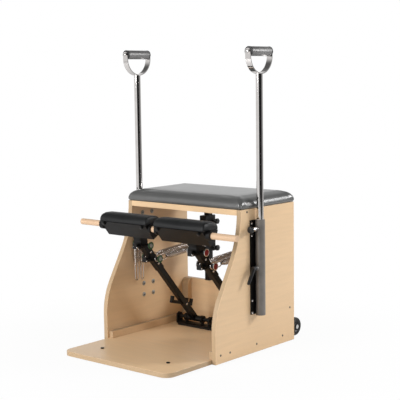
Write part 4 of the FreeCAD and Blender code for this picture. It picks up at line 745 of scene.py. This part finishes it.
def clamp_lever(side):
    """Clamp lever: chromed screw, ribbed hub and a tapered handle with a rounded tip."""
    node = f"clamp_lever_{side}"
    low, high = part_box(node)
    joint = JOINTS[f"{side}_lever"]
    axis_x, axis_z = joint["pos_m"][0], joint["pos_m"][2]
    screw_end, screw_out, hub_length = high[1], 14.4 * MM, 20 * MM
    hub_front = screw_end - screw_out - hub_length
    heap = Heap()
    screw = softened(screw_end - hub_front, 4 * MM, 0.5 * MM)
    heap.take(*turned((axis_x, hub_front, axis_z), (0, 1, 0), screw, 20), 1)
    hub = softened(hub_length, 9 * MM, 2 * MM)
    heap.take(*turned((axis_x, hub_front, axis_z), (0, 1, 0), hub, 48, lobes(12, 0.025)))
    root = Vector((axis_x, hub_front + 7 * MM, axis_z))
    tip = Vector((axis_x, low[1] + 5 * MM, low[2] + 4 * MM))
    line = tip - root
    length = line.length
    profile = [(0, 7 * MM), (0.15 * length, 7.8 * MM), (0.5 * length, 6.6 * MM), (0.8 * length, 6.8 * MM),
               (0.94 * length, 6.2 * MM), (0.985 * length, 4.4 * MM), (length, 1.6 * MM)]
    heap.take(*turned(root, line, profile, 28))
    lever = heap.piece(f"{node}_moulded", f"clamp_lever_{side}", "black_plastic", PLASTIC, CHROME)
    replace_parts(lever, node)


def grip(side):
    """Hand grip: a smooth grey barrel between two black end caps."""
    node = f"grip_{side}"
    low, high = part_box(node)
    centre = middle(low, high)
    start = Vector((centre.x, low[1], centre.z))
    length, radius = high[1] - low[1], (high[2] - low[2]) / 2
    cap = 5 * MM
    heap = Heap()
    barrel = softened(length - 2 * cap, radius * 0.97, 0.8 * MM)
    heap.take(*turned(start + Vector((0, cap, 0)), (0, 1, 0), barrel, 48))
    for end in (0, length - cap):
        heap.take(*turned(start + Vector((0, end, 0)), (0, 1, 0), softened(cap, radius, 1.2 * MM), 48), 1)
    handle = heap.piece(f"{node}_barrel", f"grip_{side}", "grip_foam", GRIP, PLASTIC)
    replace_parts(handle, node)


def grip_bolts(side):
    """Button-headed bolts on the outer faces of the handle's strap."""
    low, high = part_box(f"handle_strap_{side}")
    barrel = middle(*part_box(f"grip_{side}"))
    heap = Heap()
    for face, out in ((low[1], -1), (high[1], 1)):
        socket_head(heap, Vector((barrel.x, face, barrel.z)), Vector((0, out, 0)), 6 * MM, 2.6 * MM)
    # Black plastic here is the painted shade of the hexagon sockets.
    heap.piece(f"grip_bolts_{side}", f"pole_{side}", "zinc", ZINC, PLASTIC)


def wheel(side):
    """Wheel: rounded tread, and a dished hub with spokes."""
    tyre_node, hub_node = f"wheel_tyre_{side}", f"wheel_hub_{side}"
    low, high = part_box(tyre_node)
    centre = middle(low, high)
    width, radius = high[0] - low[0], (high[2] - low[2]) / 2
    hub_low, hub_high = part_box(hub_node)
    rim = (hub_high[2] - hub_low[2]) / 2
    start = Vector((low[0], centre.y, centre.z))
    bead, far_bead = (0.4 * MM, rim), (width - 0.4 * MM, rim)
    tyre = Heap()
    verts, faces = turned(start, (1, 0, 0), [bead] + softened(width, radius, 6 * MM, 6) + [far_bead], 64)
    tyre.take(verts, faces[:-2])
    inner_verts, inner_faces = turned(start, (1, 0, 0), [bead, far_bead], 64)
    tyre.take(inner_verts, [tuple(reversed(face)) for face in inner_faces[:-2]])
    tread = tyre.piece(f"{tyre_node}_tread", f"wheel_{side}", "tyre", RUBBER)
    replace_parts(tread, tyre_node)
    hub = Heap()
    profile = [(3 * MM, 6 * MM), (2 * MM, 8 * MM), (2 * MM, 11 * MM), (6 * MM, 13 * MM), (6 * MM, 19 * MM),
               (1.5 * MM, 21 * MM), (0.8 * MM, 24 * MM), (1 * MM, rim - 0.3 * MM)]
    profile += [(width - along, reach) for along, reach in reversed(profile)]
    hub.take(*turned(start, (1, 0, 0), profile, 64))
    dish, spokes, first_spoke = 6 * MM, 5, 0.3
    for face_x, out in ((low[0] + dish, -1), (high[0] - dish, 1)):
        for i in range(spokes):
            angle = 2 * math.pi * i / spokes + first_spoke
            spoke = Vector((0, math.cos(angle), math.sin(angle)))
            root = Vector((face_x + out * 1.2 * MM, centre.y, centre.z)) + spoke * 11 * MM
            hub.take(*tube([root + spoke * (reach * MM) for reach in (0, 3, 6, 9, 11)], 2.2 * MM))
    disc = hub.piece(f"{hub_node}_spoked", f"wheel_{side}", "black_plastic", PLASTIC)
    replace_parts(disc, hub_node)


def pin_caps(side, slot_name, ring, centre, share):
    """Pin caps: a ring and a domed middle, one of them coloured and the other bright."""
    node = f"spring_caps_{side}"
    arm_x = JOINTS[f"{side}_pedal"]["pos_m"][0]
    heap = Heap()
    for low, high in islands(node):
        spot = middle(low, high)
        out = 1 if spot.x > arm_x else -1
        back = Vector((low[0] if out > 0 else high[0], spot.y, spot.z))
        radius, thick = (high[2] - low[2]) / 2, high[0] - low[0]
        wall = [(0, radius * 0.7), (0.6 * MM, radius * 0.84), (1.5 * MM, radius * 0.9),
                (thick - 2.4 * MM, radius * 0.9)]
        heap.take(*turned(back, (out, 0, 0), wall, 36), 2)
        rim = [(thick - 3.2 * MM, radius * 0.9), (thick - 3 * MM, radius * 1.01),
               (thick - 1.4 * MM, radius * 1.04), (thick - 0.7 * MM, radius * 0.98),
               (thick - 0.9 * MM, radius * 0.78)]
        heap.take(*turned(back, (out, 0, 0), rim, 40))
        reach = radius * share
        dome = [(thick - 1.4 * MM, reach), (thick - 0.5 * MM, reach * 0.94), (thick - 0.15 * MM, reach * 0.6),
                (thick, reach * 0.2)]
        heap.take(*turned(back, (out, 0, 0), dome, 36), 1)
    caps = heap.piece(f"{node}_domed", f"pedal_{side}", slot_name, ring, centre, PLASTIC)
    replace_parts(caps, node)


def socket_head(heap, back, axis, radius, thick):
    """Button head with a hexagon socket drawn as a flat hexagon in the second colour, painted shade standing
    in for the socket's recess.
    """
    socket = radius * 0.42
    dome = [(0, radius), (thick * 0.35, radius), (thick * 0.75, radius * 0.86), (thick, radius * 0.58)]
    heap.take(*turned(back, axis, dome, 28))
    top = Vector(back) + Vector(axis) * thick
    # The socket is a thin hexagon just proud of the head, coloured with painted shade instead of cut in.
    heap.take(*turned(top, axis, [(-0.1 * MM, socket), (0.05 * MM, socket)], 6), 1)


def rail_bolts():
    """Button-headed bolts through the pole sleeves' rails."""
    head_thick = 4 * MM
    bolts = Heap()
    for low, high in islands("rail_bolts"):
        centre = middle(low, high)
        out = 1 if centre.x > 0 else -1
        head = high[0] if out > 0 else low[0]
        seat = Vector((head - out * head_thick, centre.y, centre.z))
        socket_head(bolts, seat, (out, 0, 0), (high[2] - low[2]) / 2, head_thick)
        bolts.take(*turned(seat, (-out, 0, 0), [(0, 3 * MM), (24 * MM, 3 * MM)], 16))
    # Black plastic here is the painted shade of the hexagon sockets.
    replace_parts(bolts.piece("rail_bolts_button", "frame", "zinc", CHROME, PLASTIC), "rail_bolts")


def tee_nuts():
    """Flanged nuts of the rail bolts, inside the panels, each with a black disc in its middle: painted shade
    standing in for the bore.
    """
    nuts = Heap()
    for low, high in islands("tee_nuts"):
        centre = middle(low, high)
        out = -1 if centre.x > 0 else 1
        back = Vector((high[0] if out < 0 else low[0], centre.y, centre.z))
        radius = (high[2] - low[2]) / 2
        profile = [(0, radius), (1.2 * MM, radius * 0.98), (1.7 * MM, radius * 0.9), (1.9 * MM, radius * 0.6),
                   (2.9 * MM, radius * 0.5), (2.9 * MM, radius * 0.36)]
        nuts.take(*turned(back, (out, 0, 0), profile, 28))
        # Thin black disc over the closed face: painted shade of the nut's bore.
        nuts.take(*turned(back, (out, 0, 0), [(2.8 * MM, radius * 0.35), (2.95 * MM, radius * 0.3)], 20), 1)
    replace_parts(nuts.piece("tee_nuts_flanged", "frame", "zinc", DULL_ZINC, PLASTIC), "tee_nuts")


def panel_screws():
    """Wood screws of the side panels, with low domed heads and cross slots; the slots are thin black bars on
    the dome, painted shade standing in for the recess.
    """
    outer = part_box("side_panel_right")[1][0]
    slot_long, slot_thin = 2.1 * MM, 0.45 * MM
    screws = Heap()
    for low, high in islands("panel_screws"):
        centre = middle(low, high)
        out = 1 if centre.x > 0 else -1
        face = Vector((out * outer, centre.y, centre.z))
        dome = [(0, 4.5 * MM), (0.3 * MM, 4.4 * MM), (0.65 * MM, 3.4 * MM), (0.8 * MM, 1.6 * MM)]
        screws.take(*turned(face, (out, 0, 0), dome, 24))
        # Black bars just proud of the dome: painted shade of the cross slots.
        for half_y, half_z in ((slot_thin, slot_long), (slot_long, slot_thin)):
            corners = [face + Vector((out * depth * MM, a * half_y, b * half_z))
                       for depth in (0.5, 0.86) for a, b in ((-1, -1), (1, -1), (1, 1), (-1, 1))]
            screws.take(corners, BLOCK_FACES, 1)
        screws.take(*turned(face, (-out, 0, 0), [(0, 2.5 * MM), (20 * MM, 2.5 * MM)], 12))
    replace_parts(screws.piece("panel_screws_crossed", "frame", "zinc", DARK_ZINC, PLASTIC), "panel_screws")


def pedal_bolts(side):
    """Socket-headed bolts square to the slanting plate of a pedal, their sockets flat black hexagons of
    painted shade.
    """
    node = f"pedal_bolts_{side}"
    slant = Vector((0, -PLATE_RUN, -PLATE_DROP)).normalized()
    head = 8 * MM
    heap = Heap()
    for low, high in islands(node):
        back = middle(low, high) + slant * (1.4 * MM - head / 2)
        heap.take(*turned(back, slant, softened(head, 7 * MM, 1 * MM), 32))
        # The socket is a flat black hexagon on the head: painted shade standing in for the recess.
        heap.take(*turned(back + slant * head, slant, [(-0.05 * MM, 3.4 * MM), (0.05 * MM, 3.4 * MM)], 6), 1)
        heap.take(*turned(back, -slant, [(0, 4 * MM), (3 * MM, 4 * MM)], 16))
    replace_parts(heap.piece(f"{node}_socket", f"pedal_{side}", "black_plastic", DARK_BOLT, PLASTIC), node)


def arm_hardware(side):
    """Bright bolts through a pedal arm and at the tips of its hooks."""
    pivot = Vector(JOINTS[f"{side}_pedal"]["pos_m"])
    angle = math.radians(ARM_ANGLE)
    along = Vector((0, -math.cos(angle), math.sin(angle)))
    heap = Heap()
    for reach, half in ARM_BOLTS:
        spot = pivot + along * (reach * MM)
        for sign in (-1, 1):
            socket_head(heap, spot + Vector((sign * half * MM, 0, 0)), (sign, 0, 0), 5 * MM, 3.2 * MM)
    for reach in HOOK_REACHES:
        tip = pivot + along * (reach * MM) + HOOK_TIP
        for sign in (-1, 1):
            socket_head(heap, tip + Vector((sign * HOOK_HALF, 0, 0)), (sign, 0, 0), 4.2 * MM, 2.6 * MM)
    # Black plastic here is the painted shade of the hexagon sockets.
    heap.piece(f"arm_bolts_{side}", f"pedal_{side}", "zinc", CHROME, PLASTIC)


# Stage

PICTURE_SIZE = 400
FOCAL_PIXELS = 1064.79
SENSOR_MM = 36.0
CLIP_END = 60.0
CAMERA_PLACE = (2.81438, -3.19323, 1.09775)
CAMERA_AZIMUTH, CAMERA_TILT, CAMERA_ROLL = 40.54, 6.71, -0.76
# Name, place, aim, size, power, and whether mirrors show it
LAMPS = (
    ("fill", (-0.9, -3.8, 1.85), (0, 0, 0.4), 1.7, 88, True),
    ("low", (-0.4, -3.3, 0.55), (0, 0, 0.3), 1.3, 24, False),
    ("right", (2.4, 2.4, 2.0), (0, 0, 0.4), 1.1, 64, True),
    ("side", (4.2, -0.8, 1.7), (0, 0, 0.4), 2.4, 6, False),
)
FLOOR_SIDE = 8
FLOOR_DROP = 0.0005
FLOOR_WHITE = (0.86, 0.86, 0.86, 1)
FLOOR_ROUGHNESS = 0.9
FADE_START, FADE_END = 0.5, 1.3
SOFT_LIGHT = 0.48
FLOOR_GLOW = 0.94
ROOM_LEVEL = 1.15
CEILING = 0.15
WALL_TOP, CEILING_FROM = 0.2, 0.7
# Brightness of the room's sides in mirrors, by compass angle from +X towards +Y
ROOM_SIDES = ((-180, 0.6), (-137, 0.62), (-100, 0.6), (-74, 0.75), (-65, 0.01), (8, 0.01), (16, 0.15),
              (34, 0.18), (46, 0.3), (80, 0.34), (105, 1.0), (145, 1.0), (180, 0.6))


def photo_camera():
    """Camera at the photograph's place."""
    azimuth, tilt, roll = (math.radians(a) for a in (CAMERA_AZIMUTH, CAMERA_TILT, CAMERA_ROLL))
    away = Vector((-math.sin(azimuth), math.cos(azimuth), 0))
    forward = away * math.cos(tilt) - Vector((0, 0, math.sin(tilt)))
    level = Vector((math.cos(azimuth), math.sin(azimuth), 0))
    upward = level.cross(forward)
    right = level * math.cos(roll) + upward * math.sin(roll)
    up = upward * math.cos(roll) - level * math.sin(roll)
    data = bpy.data.cameras.new("camera")
    data.sensor_fit = "HORIZONTAL"
    data.sensor_width = SENSOR_MM
    data.lens = FOCAL_PIXELS / PICTURE_SIZE * SENSOR_MM
    data.clip_end = CLIP_END
    camera = bpy.data.objects.new("camera", data)
    bpy.context.scene.collection.objects.link(camera)
    spin = Matrix((right, up, -forward)).transposed().to_4x4()
    camera.matrix_world = Matrix.Translation(CAMERA_PLACE) @ spin
    bpy.context.scene.camera = camera


def area_light(name, place, aim, size, power, mirrored):
    """A soft lamp, seen in mirrors or not."""
    data = bpy.data.lights.new(name, "AREA")
    data.shape = "DISK"
    data.size = size
    data.energy = power
    lamp = bpy.data.objects.new(name, data)
    bpy.context.scene.collection.objects.link(lamp)
    lamp.visible_glossy = mirrored
    lamp.location = place
    lamp.rotation_euler = (Vector(aim) - Vector(place)).to_track_quat("-Z", "Y").to_euler()


def ray_kind(tree, *kinds):
    """One for rays of the named kinds and nought for others."""
    path = tree.nodes.new("ShaderNodeLightPath")
    total = path.outputs[kinds[0]]
    for kind in kinds[1:]:
        total = arithmetic(tree, "MAXIMUM", total, path.outputs[kind])
    return total


def eased(tree, value, start, end, low, high):
    """A smooth step of a value."""
    step = tree.nodes.new("ShaderNodeMapRange")
    step.interpolation_type = "SMOOTHSTEP"
    tree.links.new(value, step.inputs["Value"])
    for name, number in zip(("From Min", "From Max", "To Min", "To Max"), (start, end, low, high)):
        step.inputs[name].default_value = number
    return step.outputs[0]


def blended(tree, factor, first, second):
    """A number between two others, each a socket or a plain value."""
    mix = tree.nodes.new("ShaderNodeMix")
    tree.links.new(factor, mix.inputs["Factor"])
    feed(tree, mix.inputs["A"], first)
    feed(tree, mix.inputs["B"], second)
    return mix.outputs["Result"]


def surroundings():
    """White to the eye, even for soft light, and for mirrors a room with light and dark sides."""
    world = bpy.data.worlds.new("studio")
    bpy.context.scene.world = world
    world.use_nodes = True
    tree = world.node_tree
    shine = tree.nodes["Background"]
    shine.inputs["Color"].default_value = (1, 1, 1, 1)
    direction = tree.nodes.new("ShaderNodeTexCoord").outputs["Generated"]
    parts = tree.nodes.new("ShaderNodeSeparateXYZ")
    tree.links.new(direction, parts.inputs[0])
    turn = arithmetic(tree, "ARCTAN2", parts.outputs["Y"], parts.outputs["X"])
    round_share = tree.nodes.new("ShaderNodeMapRange")
    tree.links.new(turn, round_share.inputs["Value"])
    for name, number in zip(("From Min", "From Max"), (-math.pi, math.pi)):
        round_share.inputs[name].default_value = number
    sides = tree.nodes.new("ShaderNodeValToRGB")
    stops = sides.color_ramp.elements
    for degrees, level in ROOM_SIDES:
        ends = {-180: stops[0], 180: stops[-1]}
        stop = ends[degrees] if degrees in ends else stops.new(degrees / 360 + 0.5)
        stop.color = (level, level, level, 1)
    tree.links.new(round_share.outputs[0], sides.inputs["Fac"])
    ceiling = eased(tree, parts.outputs["Z"], WALL_TOP, CEILING_FROM, ROOM_LEVEL, ROOM_LEVEL * CEILING)
    mirrored = arithmetic(tree, "MULTIPLY", sides.outputs[0], ceiling)
    unseen = blended(tree, ray_kind(tree, "Is Glossy Ray"), SOFT_LIGHT, mirrored)
    strength = blended(tree, ray_kind(tree, "Is Camera Ray", "Is Transmission Ray"), unseen, 1.0)
    tree.links.new(strength, shine.inputs["Strength"])


def floor():
    """Matt white floor that keeps a faint shadow near the chair and fades to plain white."""
    bpy.ops.mesh.primitive_plane_add(size=FLOOR_SIDE, location=(0, 0, -FLOOR_DROP))
    ground = bpy.context.object
    ground.name = "floor"
    white = bpy.data.materials.new("floor_white")
    white.use_nodes = True
    tree = white.node_tree
    matte = tree.nodes["Principled BSDF"]
    matte.inputs["Base Color"].default_value = FLOOR_WHITE
    matte.inputs["Roughness"].default_value = FLOOR_ROUGHNESS
    glow = tree.nodes.new("ShaderNodeEmission")
    glow.inputs["Color"].default_value = (1, 1, 1, 1)
    away = tree.nodes.new("ShaderNodeVectorMath")
    away.operation = "LENGTH"
    tree.links.new(tree.nodes.new("ShaderNodeTexCoord").outputs["Object"], away.inputs[0])
    whiteness = eased(tree, away.outputs["Value"], FADE_START, FADE_END, FLOOR_GLOW, 1.0)
    share = blended(tree, ray_kind(tree, "Is Camera Ray", "Is Transmission Ray"), 0.0, whiteness)
    mixer = tree.nodes.new("ShaderNodeMixShader")
    tree.links.new(share, mixer.inputs["Fac"])
    tree.links.new(matte.outputs[0], mixer.inputs[1])
    tree.links.new(glow.outputs[0], mixer.inputs[2])
    tree.links.new(mixer.outputs[0], tree.nodes["Material Output"].inputs["Surface"])
    ground.data.materials.append(white)


def studio():
    """White surroundings, a pale floor, and soft lamps."""
    surroundings()
    floor()
    for lamp in LAMPS:
        area_light(*lamp)
    bpy.context.scene.view_settings.view_transform = "Standard"


dress_nodes()
seat_cushion()
for side in SIDES:
    pedal_pad(side)
    working_springs(side)
    hand_knobs(f"carriage_knobs_{side}")
    hand_knobs(f"stop_knobs_{side}")
    pull_knob(side)
    clamp_lever(side)
    grip(side)
    grip_bolts(side)
    wheel(side)
    pedal_bolts(side)
    arm_hardware(side)
pin_caps("left", "green_plastic", GREEN, DULL_ZINC, 0.58)
pin_caps("right", "red_plastic", ZINC, RED, 0.86)
spare_springs()
rail_bolts()
tee_nuts()
panel_screws()
photo_camera()
studio()
